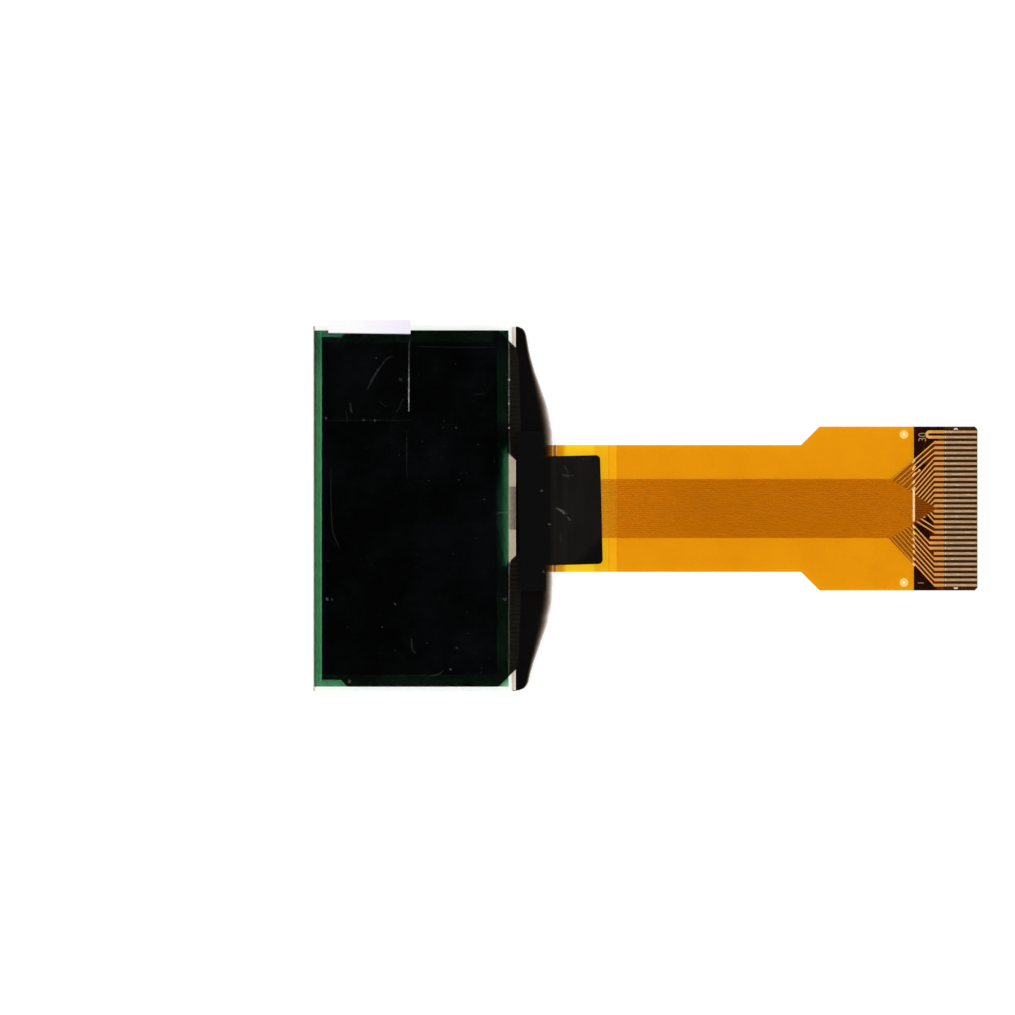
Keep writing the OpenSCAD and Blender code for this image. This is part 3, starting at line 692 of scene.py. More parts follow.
def coat_width(y):
    """Width of the coating at a place along the ledge, rounded off at its two ends."""
    far = abs(y - COAT_SHIFT) / (half_length - COAT_SHOULDER)
    width = COAT_END + (ledge_width - COAT_BARE - COAT_END) / (1 + far**COAT_FALL)
    past = max(0.0, abs(y) - coat_hi.y + COAT_ROUND) / COAT_ROUND
    return width * (COAT_TIP + (1 - COAT_TIP) * math.sqrt(max(0.0, 1 - past * past)))


def coat_section(y, under_tail):
    """One section, from the ledge line out along the glass and back along the underside."""
    width = coat_width(y)
    deep = coat_deep * math.sqrt(width / (ledge_width - COAT_BARE))
    top = coat_hi.z - CLEAR
    tail_from = bond_lo.x - BEFORE_TAIL - ledge_x if under_tail else math.inf
    points = []
    for i in range(COAT_TOP):
        x = width * i / COAT_TOP
        points.append((x, tail_hi.z - TOP_BELOW if x > tail_from else top))
    for i in range(COAT_UNDER + 1):
        a = math.pi / 2 * i / COAT_UNDER
        x, z = width * math.cos(a), coat_hi.z - 2 * CLEAR - deep * math.sin(a)
        points.append((x, min(z, tail_hi.z - UNDER_BELOW) if x > tail_from else z))
    # It also creeps a little way into the gap between the glasses
    points += [(0, rear_hi.z + CLEAR), (-COAT_CREEP, rear_hi.z + CLEAR), (-COAT_CREEP, top)]
    return [Vector((ledge_x + CLEAR + x, y, z)) for x, z in points]


print("coating width in the middle:", round(coat_width(0) / MM, 2), "mm")

# %% Silicone coating: shape
COAT_STATIONS = 168
STEP = 0.004 * MM    # half the breadth of the step at the tail's two sides


def kept_mesh(name, shell):
    """A mesh of a finished shell, with its faces turned outwards."""
    bmesh.ops.recalc_face_normals(shell, faces=shell.faces)
    mesh = bpy.data.meshes.new(name)
    shell.to_mesh(mesh)
    shell.free()
    return mesh


def brown_reach(y):
    """How far in from the lip the coating is still brown: more where it is broad."""
    broad = max(0.0, coat_width(y) / MM - 0.8) / 2.1
    return 0.2 * MM + 0.78 * MM * min(broad, 1.1) ** 1.3


stations = [coat_lo.y + (coat_hi.y - coat_lo.y) * i / COAT_STATIONS for i in range(COAT_STATIONS + 1)]
stations += [side * (tail_half + gap) for side in (-1, 1) for gap in (-STEP, STEP)]
stations.sort()
lip = [Vector((ledge_x + coat_width(y), y)) for y in stations]
shell = bmesh.new()
from_lip = shell.verts.layers.float.new("from_lip")
rings = []
for y in stations:
    rings.append([shell.verts.new(co) for co in coat_section(y, abs(y) < tail_half)])
    for v in rings[-1]:
        v[from_lip] = min((v.co.xy - p).length for p in lip) / brown_reach(y)
for a, b in zip(rings, rings[1:]):
    for i in range(len(a)):
        j = (i + 1) % len(a)
        shell.faces.new((a[i], b[i], b[j], a[j]))
shell.faces.new(rings[0][::-1])
shell.faces.new(rings[-1])
coat_mesh = kept_mesh("silicone_coating", shell)
print("coating stations:", len(stations), "points round each:", len(rings[0]))

# %% Silicone coating: finish
def silicone_shader(tree):
    """Black where deep. Towards the lip it lets brown light through, more and more."""
    reach = add(tree, "ShaderNodeAttribute", {}, out="Fac", attribute_name="from_lip")
    place, _, across = position(tree)
    wander = add(tree, "ShaderNodeTexNoise", {"Vector": place, "Scale": 1 / (1.1 * MM), "Detail": 3.0})
    reach = add(tree, "ShaderNodeMath", {0: wander, 1: 0.22, 2: reach}, operation="MULTIPLY_ADD")
    depth = add(tree, "ShaderNodeMapRange", {0: reach, 1: 0.09, 2: 1.18, 3: 1.0, 4: 0.0})
    thin = add(tree, "ShaderNodeMath", {0: depth, 1: 1.8}, operation="POWER")
    # Behind the tail the amber hides the brown, and only a grey shade is left
    behind_tail = near(tree, across, 0.0, tail_half, tail_half + 0.1 * MM)
    deep = laid_over(tree, per_face, "#CFA078", (behind_tail, "#B9BE9A"))
    through = add(tree, "ShaderNodeBsdfTransparent",
                  {"Color": laid_over(tree, per_face, deep, (thin, "#FFFFFF"))})
    tone, grain = patches(tree, rgb, 0.5 * MM, 4.0, "#020202", "#0A0807")
    bump = add(tree, "ShaderNodeBump", {"Strength": 0.25, "Distance": 0.02 * MM, "Height": grain})
    cured = add(tree, "ShaderNodeBsdfPrincipled",
                {"Base Color": tone, "Roughness": 0.4, "Specular IOR Level": 0.06, "Normal": bump})
    return add(tree, "ShaderNodeMixShader", {0: thin, 1: cured, 2: through})


coating = new_object("silicone_coating", coat_mesh)
coat_mesh.shade_smooth()
finish_piece(coating, new_material("black_silicone", silicone_shader), "silicone", "ledge_coating")

# %% [markdown]
# The light shield is black PET tape, a T laid a little askew by hand. Its head lies on the glass,
# its stem bends over the ground bevel and settles on the tail. It is modelled as a fine grid that
# follows that path in a soft S, with a few shallow dents, and gets its thickness from Solidify.

# %% Light-shield tape: path
TAPE_THICK = 0.085 * MM
DENT = 0.012 * MM    # half the height of the ripples
TAPE_TURN = math.radians(1.4)
HEAD_WIDE, HEAD_LONG, STEM_LONG = 2.4 * MM, 15.1 * MM, 10.3 * MM
STEM_ROUND = 0.42 * MM
glass_top = front_hi.z
head_x = ledge_x + 0.2 * MM
stem_x = edge_x + 4.23 * MM
crease_x, land_x = edge_x - 0.38 * MM, edge_x + 1.05 * MM
pivot = Vector((edge_x, -0.2 * MM, 0))


def tail_top(x):
    """Height of the tail's tracks, which fall evenly from the glass to the tooling holes."""
    start, end = edge_x + 0.5 * MM, tail_hi.x - 8.45 * MM
    high, low = tail_hi.z + 0.018 * MM, stiff_hi.z + 0.093 * MM
    return high + (low - high) * min(max((x - start) / (end - start), 0), 1)


def tape_under(x):
    """Height of the tape's underside: on the glass, then in a soft S down to the tail."""
    t = min(max((x - crease_x) / (land_x - crease_x), 0), 1)
    s = t * t * (3 - 2 * t)
    return glass_top * (1 - s) + (tail_top(x) + CLEAR) * s


def dent(x, y):
    """Height of the shallow ripples where the stem hangs free, never below the straight fall."""
    free = max(0.0, math.sin(math.pi * min(max((x - crease_x) / (stem_x - crease_x), 0), 1)))
    return DENT * free * (1 + math.sin(x / MM * 1.3 + y / MM * 0.9) * math.sin(y / MM * 0.7 + 1))


print("the tape falls by", round((glass_top - tape_under(land_x)) / MM, 3), "mm")

# %% Light-shield tape: grid
# The grid's lines: along the stem and both wings of the head, then down the head, the stem and
# the rounded corners at its end
ACROSS_STEM, ACROSS_WING, DOWN_HEAD, DOWN_STEM, DOWN_ROUND = 44, 8, 10, 46, 8
columns = [-STEM_LONG / 2 + STEM_LONG * i / ACROSS_STEM for i in range(ACROSS_STEM + 1)]
wings = [STEM_LONG / 2 + (HEAD_LONG - STEM_LONG) / 2 * i / ACROSS_WING
         for i in range(1, ACROSS_WING + 1)]
columns = [-w for w in reversed(wings)] + columns + wings
rows = [head_x + HEAD_WIDE * i / DOWN_HEAD for i in range(DOWN_HEAD + 1)]
rows += [head_x + HEAD_WIDE + (stem_x - STEM_ROUND - head_x - HEAD_WIDE) * i / DOWN_STEM
         for i in range(1, DOWN_STEM + 1)]
rows += [stem_x - STEM_ROUND + STEM_ROUND * math.sin(math.pi / 2 * i / DOWN_ROUND)
         for i in range(1, DOWN_ROUND + 1)]
shell = bmesh.new()
from_edge = shell.verts.layers.float.new("from_edge")
grid = {}
for i, x in enumerate(rows):
    past = max(0.0, x - (stem_x - STEM_ROUND)) / STEM_ROUND
    half = STEM_LONG / 2 - STEM_ROUND * (1 - math.sqrt(max(0.0, 1 - past * past)))
    for j, y in enumerate(columns):
        on_stem = i > DOWN_HEAD
        if on_stem and abs(y) > STEM_LONG / 2 + SAME:
            continue
        flat = Vector((x, y * half / (STEM_LONG / 2) if past else y, 0)) + Vector((0, pivot.y, 0))
        turned = Matrix.Rotation(TAPE_TURN, 3, "Z") @ (flat - pivot) + pivot
        high = tape_under(turned.x) + dent(turned.x, turned.y) + TAPE_THICK + CLEAR
        grid[i, j] = shell.verts.new((turned.x, turned.y, high))
        grid[i, j][from_edge] = min(stem_x - x, STEM_LONG / 2 - abs(y) if on_stem else 1 * MM) / MM
for i, j in list(grid):
    corners = [grid.get(k) for k in ((i, j), (i + 1, j), (i + 1, j + 1), (i, j + 1))]
    if all(corners):
        shell.faces.new(corners)
tape_mesh = bpy.data.meshes.new("shield_tape")
shell.to_mesh(tape_mesh)
shell.free()
print("grid corners:", len(grid))

# %% Light-shield tape: thickness
def settled_mesh(thing):
    """What an object's modifiers or text make of it, as a plain mesh."""
    bpy.context.view_layer.update()
    return bpy.data.meshes.new_from_object(
        thing.evaluated_get(bpy.context.evaluated_depsgraph_get()))


CUT_ROUND = 0.012 * MM
tape = new_object("shield_tape", tape_mesh)
solid = tape.modifiers.new("thickness", "SOLIDIFY")
solid.thickness, solid.offset = TAPE_THICK, -1
rounded = tape.modifiers.new("cut_edge", "BEVEL")
rounded.width, rounded.segments, rounded.limit_method = CUT_ROUND, 2, "ANGLE"
rounded.angle_limit = math.radians(60)
tape.data = settled_mesh(tape)
tape.modifiers.clear()
tape.data.shade_smooth()
tape.data.set_sharp_from_angle(angle=math.radians(40))
print("tape faces:", len(tape.data.polygons))

# %% Light-shield tape: finish
def tape_shader(tree):
    """Satin black PET with the weave-free, slightly dimpled skin of adhesive tape, and a painted sheen."""
    place, along, across = position(tree)
    turned = add(tree, "ShaderNodeMapping", {"Vector": place, "Rotation": (0, 0, 0.9),
                                             "Scale": (1.0, 0.35, 1.0)})
    soft = add(tree, "ShaderNodeTexNoise", {"Vector": turned, "Scale": 1 / (1.7 * MM), "Detail": 3.0})
    skin = add(tree, "ShaderNodeTexNoise", {"Vector": place, "Scale": 1 / (0.16 * MM), "Detail": 3.0})
    height = add(tree, "ShaderNodeMath", {0: soft, 1: 2.5, 2: skin}, operation="MULTIPLY_ADD")
    bump = add(tree, "ShaderNodeBump", {"Strength": 0.35, "Distance": 0.03 * MM, "Height": height})
    free = add(tree, "ShaderNodeMapRange",
               {0: along, 1: edge_x - 0.75 * MM, 2: edge_x - 0.4 * MM, 3: 0.0, 4: 1.0})
    # From where it bends off the glass the stem is painted lighter, as sheen, except at its corner
    # below, which lies flattest and mirrors nothing
    low = add(tree, "ShaderNodeMath", {0: along, 1: across}, operation="SUBTRACT")
    raised = add(tree, "ShaderNodeMapRange", {0: low, 1: stem_x + 2.2 * MM, 2: stem_x + 3.4 * MM,
                                              3: 1.0, 4: 0.0})
    stem = laid_over(tree, rgb, "#030303", (soft, "#191715"))
    # The cut edge shows the brown of its glue
    border = add(tree, "ShaderNodeAttribute", {}, out="Fac", attribute_name="from_edge")
    border = add(tree, "ShaderNodeMapRange", {0: border, 1: 0.05, 2: 0.17, 3: 1.0, 4: 0.0})
    tone = laid_over(tree, rgb, "#040303", (all_of(tree, free, raised), stem), (border, "#120403"))
    rough = add(tree, "ShaderNodeMapRange", {0: skin, 3: 0.45, 4: 0.62})
    return add(tree, "ShaderNodeBsdfPrincipled",
               {"Base Color": tone, "Roughness": rough, "Specular IOR Level": 0.06, "Normal": bump})


finish_piece(tape, new_material("satin_pet_tape", tape_shader), "black_tape", "light_shield_tape")

# %% [markdown]
# The tail is a flexible circuit: a polyimide base film with copper on it, and a polyimide cover
# film on each side. Polyimide is amber all through, so where films overlap the amber gets deeper,
# and nothing more than a tint for each film gives the three bands of the real tail.

# %% Where the bundle runs
BUNDLE_HALF = 2.79 * MM              # half the breadth of the bundle of parallel tracks
BUNDLE_TAPER = 0.64                  # how steeply its two sides close in at its end
NARROWS_FROM = tail_hi.x - 8.2 * MM
FAN_TOP, FAN_RISE = 4.5 * MM, 0.82   # the fan's upper side: its height at the stiffener, its slope
FAN_FOOT, FAN_FALL = -5.4 * MM, 1.05
FAN_FROM = -2.6 * MM                 # where the fan starts, before the stiffener
SOFT = 0.15 * MM                     # how softly the fan's sides fade


def beside_bundle(tree):
    """0 in the bundle of parallel tracks, 1 beside it and past its pointed end."""
    _, along, across = position(tree)
    away = add(tree, "ShaderNodeMath", {0: across}, operation="ABSOLUTE")
    reach = add(tree, "ShaderNodeMath", {0: along, 1: BUNDLE_TAPER, 2: away},
                operation="MULTIPLY_ADD")
    side = BUNDLE_TAPER * NARROWS_FROM + BUNDLE_HALF
    free = add(tree, "ShaderNodeMapRange", {0: reach, 1: side - 0.07 * MM, 2: side + 0.07 * MM})
    wide = add(tree, "ShaderNodeMapRange",
               {0: away, 1: BUNDLE_HALF - 0.03 * MM, 2: BUNDLE_HALF + 0.03 * MM})
    return add(tree, "ShaderNodeMath", {0: free, 1: wide}, operation="MAXIMUM")


def in_fan(tree):
    """1 where the tracks fan out to the contacts, 0 outside the fan's two slanting sides."""
    _, along, across = position(tree)
    past = add(tree, "ShaderNodeMath", {0: along, 1: stiff_lo.x}, operation="SUBTRACT")
    upper = add(tree, "ShaderNodeMath", {0: past, 1: -FAN_RISE, 2: across}, operation="MULTIPLY_ADD")
    lower = add(tree, "ShaderNodeMath", {0: past, 1: FAN_FALL, 2: across}, operation="MULTIPLY_ADD")
    upper = add(tree, "ShaderNodeMapRange", {0: upper, 1: FAN_TOP, 2: FAN_TOP + SOFT, 3: 1.0, 4: 0.0})
    lower = add(tree, "ShaderNodeMapRange", {0: lower, 1: FAN_FOOT, 2: FAN_FOOT + SOFT})
    begun = add(tree, "ShaderNodeMapRange", {0: past, 1: FAN_FROM, 2: FAN_FROM + 2 * SOFT})
    return all_of(tree, upper, lower, begun)


print("the bundle narrows from", round(NARROWS_FROM / MM, 2), "mm")

# %% Amber films
DIMS_OVER = 8 * MM    # how far past the cover film's edge the bundle still gets darker


def amber_shader(tree, film, cloudy):
    """Amber film with slightly uneven dye."""
    tint, _ = patches(tree, per_face, 4 * MM, 3.0, film, cloudy)
    return clear_shader(tree, tint, roughness=0.12)


def past_line(tree, along, line):
    """0 before a line across the tail, such as the edge of a cover film, and 1 past it."""
    return add(tree, "ShaderNodeMapRange", {0: along, 1: line - 0.05 * MM, 2: line})


def base_shader(tree):
    """The base film: amber, wetted by the tape's glue, with painted shade and light from its neighbours.
    """
    _, along, _ = position(tree)
    # Painted shade where the tail bends down from under the glass's edge
    bend = add(tree, "ShaderNodeMapRange",
               {0: along, 1: edge_x + 0.4 * MM, 2: edge_x + 1.02 * MM, 3: 1.0, 4: 0.0},
               interpolation_type="SMOOTHSTEP")
    flat, _ = patches(tree, per_face, 4 * MM, 3.0, "#F6C71F", "#FAD022")
    # The ground bevel of the glass keeps light from it, and the tape's glue has wetted it
    shaded = near(tree, along, edge_x - 0.18 * MM, 0.1 * MM, 0.2 * MM)
    wetted = near(tree, along, back_lo.x - 0.6 * MM, 0.5 * MM, 0.9 * MM)
    # Light in the gaps between tracks has been through the film more than once, but over the
    # stiffener no light comes from below, and the film keeps its plain colour
    board = past_line(tree, along, stiff_lo.x)
    fan = add(tree, "ShaderNodeMath", {0: in_fan(tree), 1: board}, operation="SUBTRACT",
              use_clamp=True)
    # In the bundle the film is painted deeper, as the tracks' shadow and copper-coloured light between
    # them: deepest where it is bare, then paler under the cover and deeper again
    bared = add(tree, "ShaderNodeMapRange", {0: along, 1: back_lo.x - 0.1 * MM, 2: back_lo.x + 0.1 * MM})
    dims = add(tree, "ShaderNodeMapRange", {0: along, 1: cover_lo.x, 2: cover_lo.x + DIMS_OVER})
    bundle = laid_over(tree, per_face, laid_over(tree, per_face, "#DA9A18", (bared, "#E0A116")),
                       (past_line(tree, along, cover_lo.x),
                        laid_over(tree, per_face, "#E7B21C", (dims, "#DFAA14"))))
    beside = laid_over(tree, per_face, flat, (bend, "#D8960A"), (shaded, "#A8740A"),
                       (wetted, "#EFB818"), (fan, "#AC7610"))
    plain = add(tree, "ShaderNodeMath", {0: beside_bundle(tree), 1: board}, operation="MAXIMUM")
    return clear_shader(tree, laid_over(tree, per_face, bundle, (plain, beside)), mirror=0.5,
                        roughness=0.12)


finish_sheet("tail_base_film", "amber_base_film", new_material("polyimide_base", base_shader),
             "polyimide")
for side, film, cloudy in (("back", "#FBE2C0", "#FEE8CC"), ("front", "#F3E0A6", "#F7E6B0")):
    finish_sheet(side + "_coverlay", f"amber_{side}_cover",
                 new_material(f"polyimide_{side}_cover", amber_shader, film, cloudy), "polyimide")

# %% [markdown]
# Copper under amber: rolled foil, etched to tracks, with its light painted into its colour. In
# the bundle the tracks are narrow and flat and mirror the dark gap overhead, so they are painted
# dull. Where they fan out over the stiffener the foil is domed by the cover film pressed round it
# and catches the light, so it is painted a pale rose. Its sloped sides are painted dark, as shade.

# %% Etched metal
def leaning_in(corners, inset):
    """Moves for the corners of a flat piece's top, in from the one or two sides they belong to."""
    moves = []
    for v in corners:
        if max(face.normal.z for face in v.link_faces) > 0.7:
            sides = []
            for face in v.link_faces:
                if abs(face.normal.z) < 0.3 and all(face.normal.dot(n) < 0.98 for n in sides):
                    sides.append(face.normal.copy())
            if sides:
                out = sides[0] if len(sides) == 1 else (
                    (sides[0] + sides[1]) / max(1 + sides[0].dot(sides[1]), 0.5))
                moves.append((v, -Vector((out.x, out.y, 0)) * inset))
    return moves


def etched_copy(node, name, inset):
    """A copy of a flat node whose sides lean in towards the top, as an acid bath leaves them."""
    return reshaped_copy(node, name, lambda corners: leaning_in(corners, inset))


def sloped(tree, steep, flat):
    """1 on the sloped sides of etched metal, 0 on its flat top."""
    return add(tree, "ShaderNodeMapRange",
               {0: facing_up(tree, "True Normal"), 1: steep, 2: flat, 3: 1.0, 4: 0.0})


TRACK_SLOPE, CONTACT_SLOPE = 0.02 * MM, 0.04 * MM
print("the sides lean in by", TRACK_SLOPE / MM, "and", CONTACT_SLOPE / MM, "mm")

# %% Copper
def copper_shader(tree):
    """Rolled copper painted dull in the bundle, lit where the tracks leave it, shaded on sloped sides."""
    _, along, _ = position(tree)
    ends = add(tree, "ShaderNodeMapRange", {0: along, 1: plate_lo.x - 1.35 * MM, 2: plate_lo.x - 0.9 * MM})
    # One rolling grain runs along the foil, in four pairs of tones that paint its light by zone: in
    # the bundle, then beside it before the stiffener, over it, and next to the contacts
    pairs = (("#D8840A", "#EA9414"), ("#E6A656", "#F6BC6C"), ("#FFD6BC", "#FFE8DC"),
             ("#EAC2AE", "#F6D4C6"))
    (bundle, rolled), (amber, _), (rose, _), (gold, _) = [
        patches(tree, rgb, 0.12 * MM, 3.0, *pair, stretch=(0.15, 1, 1)) for pair in pairs]
    # Next to the tape, from where the cover film begins, it is a little brighter
    dims = add(tree, "ShaderNodeMapRange", {0: along, 1: cover_lo.x, 2: cover_lo.x + DIMS_OVER,
                                            3: 0.9, 4: 0.0})
    # Over the dark stiffener the copper is painted with shade in the bundle and pinker light beside it
    board = past_line(tree, along, stiff_lo.x)
    beside_tape = all_of(tree, dims, past_line(tree, along, cover_lo.x))
    dull = laid_over(tree, rgb, bundle, (beside_tape, "#F2980F"), (board, "#A2701C"))
    # The sloped sides are painted dark as shade, darkest next to the contacts
    sides = laid_over(tree, rgb, "#944E1A", (ends, "#542608"))
    bright = laid_over(tree, rgb, amber, (board, rose), (ends, gold),
                       (sloped(tree, 0.9, 0.985), sides))
    free = beside_bundle(tree)
    metal = add(tree, "ShaderNodeMapRange", {0: free, 3: 0.6, 4: 0.15})
    rough = add(tree, "ShaderNodeMapRange", {0: rolled, 3: 0.28, 4: 0.45})
    return add(tree, "ShaderNodeBsdfPrincipled",
               {"Base Color": laid_over(tree, rgb, dull, (free, bright)), "Metallic": metal,
                "Roughness": rough, "Specular IOR Level": 0.2})


finish_piece(etched_copy("tail_tracks", "etched_tracks", TRACK_SLOPE),
             new_material("rolled_copper", copper_shader), "copper", "tail_tracks")
# On the back the copper keeps the dark oxide that helps film stick to it
repaint("back_jumpers", new_material("oxide_treated_copper", two_tone_shader, 0.2 * MM, 3.0,
                                     "#20140E", "#3B2418", {"Roughness": 0.7}))

# %% [markdown]
# The contact faces are plated: nickel with a thin flash of gold, which gives a pale champagne
# colour. Being pushed into a connector has left fine lengthwise scuffs.

# %% Plated contacts
def plating_shader(tree):
    """Champagne plating, brushed along the contacts, with painted shade on its sloped sides."""
    _, along, _ = position(tree)
    brass, brushed = patches(tree, rgb, 0.07 * MM, 3.0, "#9C8259", "#C0A47C", stretch=(0.06, 1, 1))
    pinker, flash = patches(tree, rgb, 0.9 * MM, 2.0, brass, "#C29A76")
    start = add(tree, "ShaderNodeMapRange", {0: along, 1: plate_lo.x, 2: plate_lo.x + 0.2 * MM,
                                             3: 1.0, 4: 0.0})
    tone = laid_over(tree, rgb, pinker, (start, "#FFE9BE"), (sloped(tree, 0.99, 0.9985), "#4A3818"))
    bump = add(tree, "ShaderNodeBump", {"Strength": 0.3, "Distance": 0.004 * MM, "Height": brushed})
    rough = add(tree, "ShaderNodeMapRange", {0: flash, 3: 0.32, 4: 0.5})
    return add(tree, "ShaderNodeBsdfPrincipled",
               {"Base Color": tone, "Metallic": 0.35, "Roughness": rough, "Normal": bump})


finish_piece(etched_copy("contact_plating", "etched_contacts", CONTACT_SLOPE),
             new_material("gold_flashed_nickel", plating_shader), "plating", "contact_plating")

# %% [markdown]
# The stiffener is a thin dark board glued behind the contacts, so that they slide into their
# connector. Its woven core shows faintly on the bare back, and its glue is dark too.

# %% Stiffener and its glue
def board_shader(tree):
    """Dark laminate with a faint weave of 0.3 mm."""
    weave = crossed_waves(tree, 0.3 * MM)
    cloud = add(tree, "ShaderNodeTexNoise",
                {"Vector": position(tree)[0], "Scale": 1 / (1.5 * MM), "Detail": 4.0})
    both = add(tree, "ShaderNodeMath", {0: weave, 1: 0.35, 2: cloud}, operation="MULTIPLY_ADD")
    tone = laid_over(tree, rgb, "#251C16", (both, "#3A2D22"))
    bump = add(tree, "ShaderNodeBump", {"Strength": 0.2, "Distance": 0.01 * MM, "Height": weave})
    return add(tree, "ShaderNodeBsdfPrincipled",
               {"Base Color": tone, "Roughness": 0.42, "Normal": bump})


# Four places in the fan have no tracks, and the painted glow leaves the glue dark there: how far
# past the stiffener's edge, how far across and how wide, in millimetres
TRACKLESS = ((1.39, -1.2, 0.3), (0.62, -1.85, 0.42), (1.2, -2.42, 0.36), (0.62, 4.1, 0.42))


def glue_shader(tree):
    """Dark glue with a painted red glow, as of light off the copper, between the tracks fanning over it.
    """
    place, along, _ = position(tree)
    glow = in_fan(tree)
    for x, y, size in TRACKLESS:
        away = add(tree, "ShaderNodeVectorMath",
                   {0: place, 1: (stiff_lo.x + x * MM, y * MM, stiff_hi.z)},
                   out="Value", operation="DISTANCE")
        clear = add(tree, "ShaderNodeMapRange", {0: away, 1: size * MM, 2: (size + 0.3) * MM})
        glow = all_of(tree, glow, clear)
    dark, _ = patches(tree, rgb, 0.8 * MM, 4.0, "#1E1A17", "#2B2521")
    red, _ = patches(tree, rgb, 0.8 * MM, 4.0, "#74583A", "#8E704C")
    red = laid_over(tree, rgb, "#BCA870", (beside_bundle(tree), red))
    # Between the bare contacts no cover film darkens it
    tone = laid_over(tree, rgb, dark, (glow, red), (past_line(tree, along, cover_hi.x), "#484232"))
    return add(tree, "ShaderNodeBsdfPrincipled",
               {"Base Color": tone, "Roughness": 0.5, "Specular IOR Level": 0.2})


repaint("tail_stiffener", new_material("dark_laminate", board_shader))
repaint("stiffener_adhesive", new_material("dark_glue", glue_shader))

# %% [markdown]
# Copper under a thick cover film shows a line of light where the film bends over the edge of the
# stiffener, and that highlight is painted here as pale marks. Contacts are scuffed, films collect
# dust. All of these are small rounded marks that repeat, so one Geometry Nodes tree makes them:
# it sets points in rows with some scatter, puts a low ellipsoid on each, and turns and scales it
# at random from a fixed seed.

# %% Tree that lays marks in rows
def marks_tree():
    """Ellipsoids at Start + Step * (index modulo Wrap), with scatter, random sizes and turns."""
    tree = bpy.data.node_groups.new("marks_in_rows", "GeometryNodeTree")
    face = tree.interface
    for name, kind in (("Count", "Int"), ("Wrap", "Int"), ("Start", "Vector"), ("Step", "Vector"),
                       ("Scatter", "Vector"), ("Smallest", "Vector"), ("Largest", "Vector"),
                       ("Turn from", "Float"), ("Turn to", "Float"), ("Seed", "Int"),
                       ("Finish", "Material")):
        face.new_socket(name, in_out="INPUT", socket_type="NodeSocket" + kind)
    face.new_socket("Geometry", in_out="OUTPUT", socket_type="NodeSocketGeometry")
    given = add(tree, "NodeGroupInput").node.outputs
    index = add(tree, "GeometryNodeInputIndex")
    step = add(tree, "ShaderNodeMath", {0: index, 1: given["Wrap"]}, operation="MODULO")
    along = add(tree, "ShaderNodeVectorMath", {0: given["Step"], "Scale": step}, operation="SCALE")
    least = add(tree, "ShaderNodeVectorMath", {0: given["Scatter"], "Scale": -1.0}, operation="SCALE")
    jitter = add(tree, "FunctionNodeRandomValue", {0: least, 1: given["Scatter"], "Seed": given["Seed"]},
                 data_type="FLOAT_VECTOR")
    place = add(tree, "ShaderNodeVectorMath", {0: given["Start"], 1: along}, operation="ADD")
    place = add(tree, "ShaderNodeVectorMath", {0: place, 1: jitter}, operation="ADD")
    points = add(tree, "GeometryNodePoints", {"Count": given["Count"], "Position": place})
    second = add(tree, "ShaderNodeMath", {0: given["Seed"], 1: 17.0}, operation="ADD")
    size = add(tree, "FunctionNodeRandomValue",
               {0: given["Smallest"], 1: given["Largest"], "Seed": second}, data_type="FLOAT_VECTOR")
    turn = add(tree, "FunctionNodeRandomValue",
               {2: given["Turn from"], 3: given["Turn to"], "Seed": second}, out=1, data_type="FLOAT")
    turned = add(tree, "ShaderNodeCombineXYZ", {"Z": turn})
    grain = add(tree, "GeometryNodeMeshUVSphere", {"Segments": 8, "Rings": 5, "Radius": 0.5})
    laid = add(tree, "GeometryNodeInstanceOnPoints",
               {"Points": points, "Instance": grain, "Rotation": turned, "Scale": size})
    real = add(tree, "GeometryNodeRealizeInstances", {0: laid})
    smooth = add(tree, "GeometryNodeSetShadeSmooth", {0: real})
    done = add(tree, "GeometryNodeSetMaterial", {0: smooth, "Material": given["Finish"]})
    add(tree, "NodeGroupOutput", {0: done})
    return tree


marks = marks_tree()
print("inputs:", [item.name for item in marks.interface.items_tree])

# %% Laying a set of marks
def lay_marks(name, finish, slot, count, wrap, seed, start, turn=(0.0, 0.0), **lengths):
    """Runs the tree once, from a place in the frame and lengths in mm, and keeps a plain mesh."""
    values = {"Count": count, "Wrap": wrap, "Seed": seed, "Start": start, "Finish": finish,
              "Turn from": turn[0], "Turn to": turn[1]}
    values |= {key.capitalize(): [v * MM for v in sizes] for key, sizes in lengths.items()}
    carrier = new_object(name, bpy.data.meshes.new(name))
    modifier = carrier.modifiers.new("marks", "NODES")
    modifier.node_group = marks
    for item in marks.interface.items_tree:
        if item.item_type == "SOCKET" and item.in_out == "INPUT":
            modifier[item.identifier] = values[item.name]
    made = settled_mesh(carrier)
    carrier.modifiers.clear()
    carrier.data = made
    finish_piece(carrier, finish, slot)


board_top = stiff_hi.z + 0.02 * MM
cover_top = board_top + 0.085 * MM
print("the cover film's top over the stiffener:", round(cover_top / MM, 3), "mm")

# %% [markdown]
# The cover film is pressed down over the stiffener's edge, and the sharp little crease in it
# mirrors a lamp. That highlight is painted as pale gold marks: a line in the middle and a dash
# where each track crosses.

# %% Glints along the stiffener's edge
def glint_shader(tree):
    """A painted highlight of the crease, pale gold, brighter and duller by turns, palest in its middle
    line.
    """
    dash, _ = patches(tree, rgb, 0.3 * MM, 3.0, "#EAA448", "#FDD28C")
    line, _ = patches(tree, rgb, 0.3 * MM, 3.0, "#F4BC74", "#FFE2B0")
    middle_line = near(tree, position(tree)[2], 0.15 * MM, 1.6 * MM, 1.8 * MM)
    return add(tree, "ShaderNodeBsdfPrincipled",
               {"Base Color": laid_over(tree, rgb, dash, (middle_line, line)), "Roughness": 0.3})


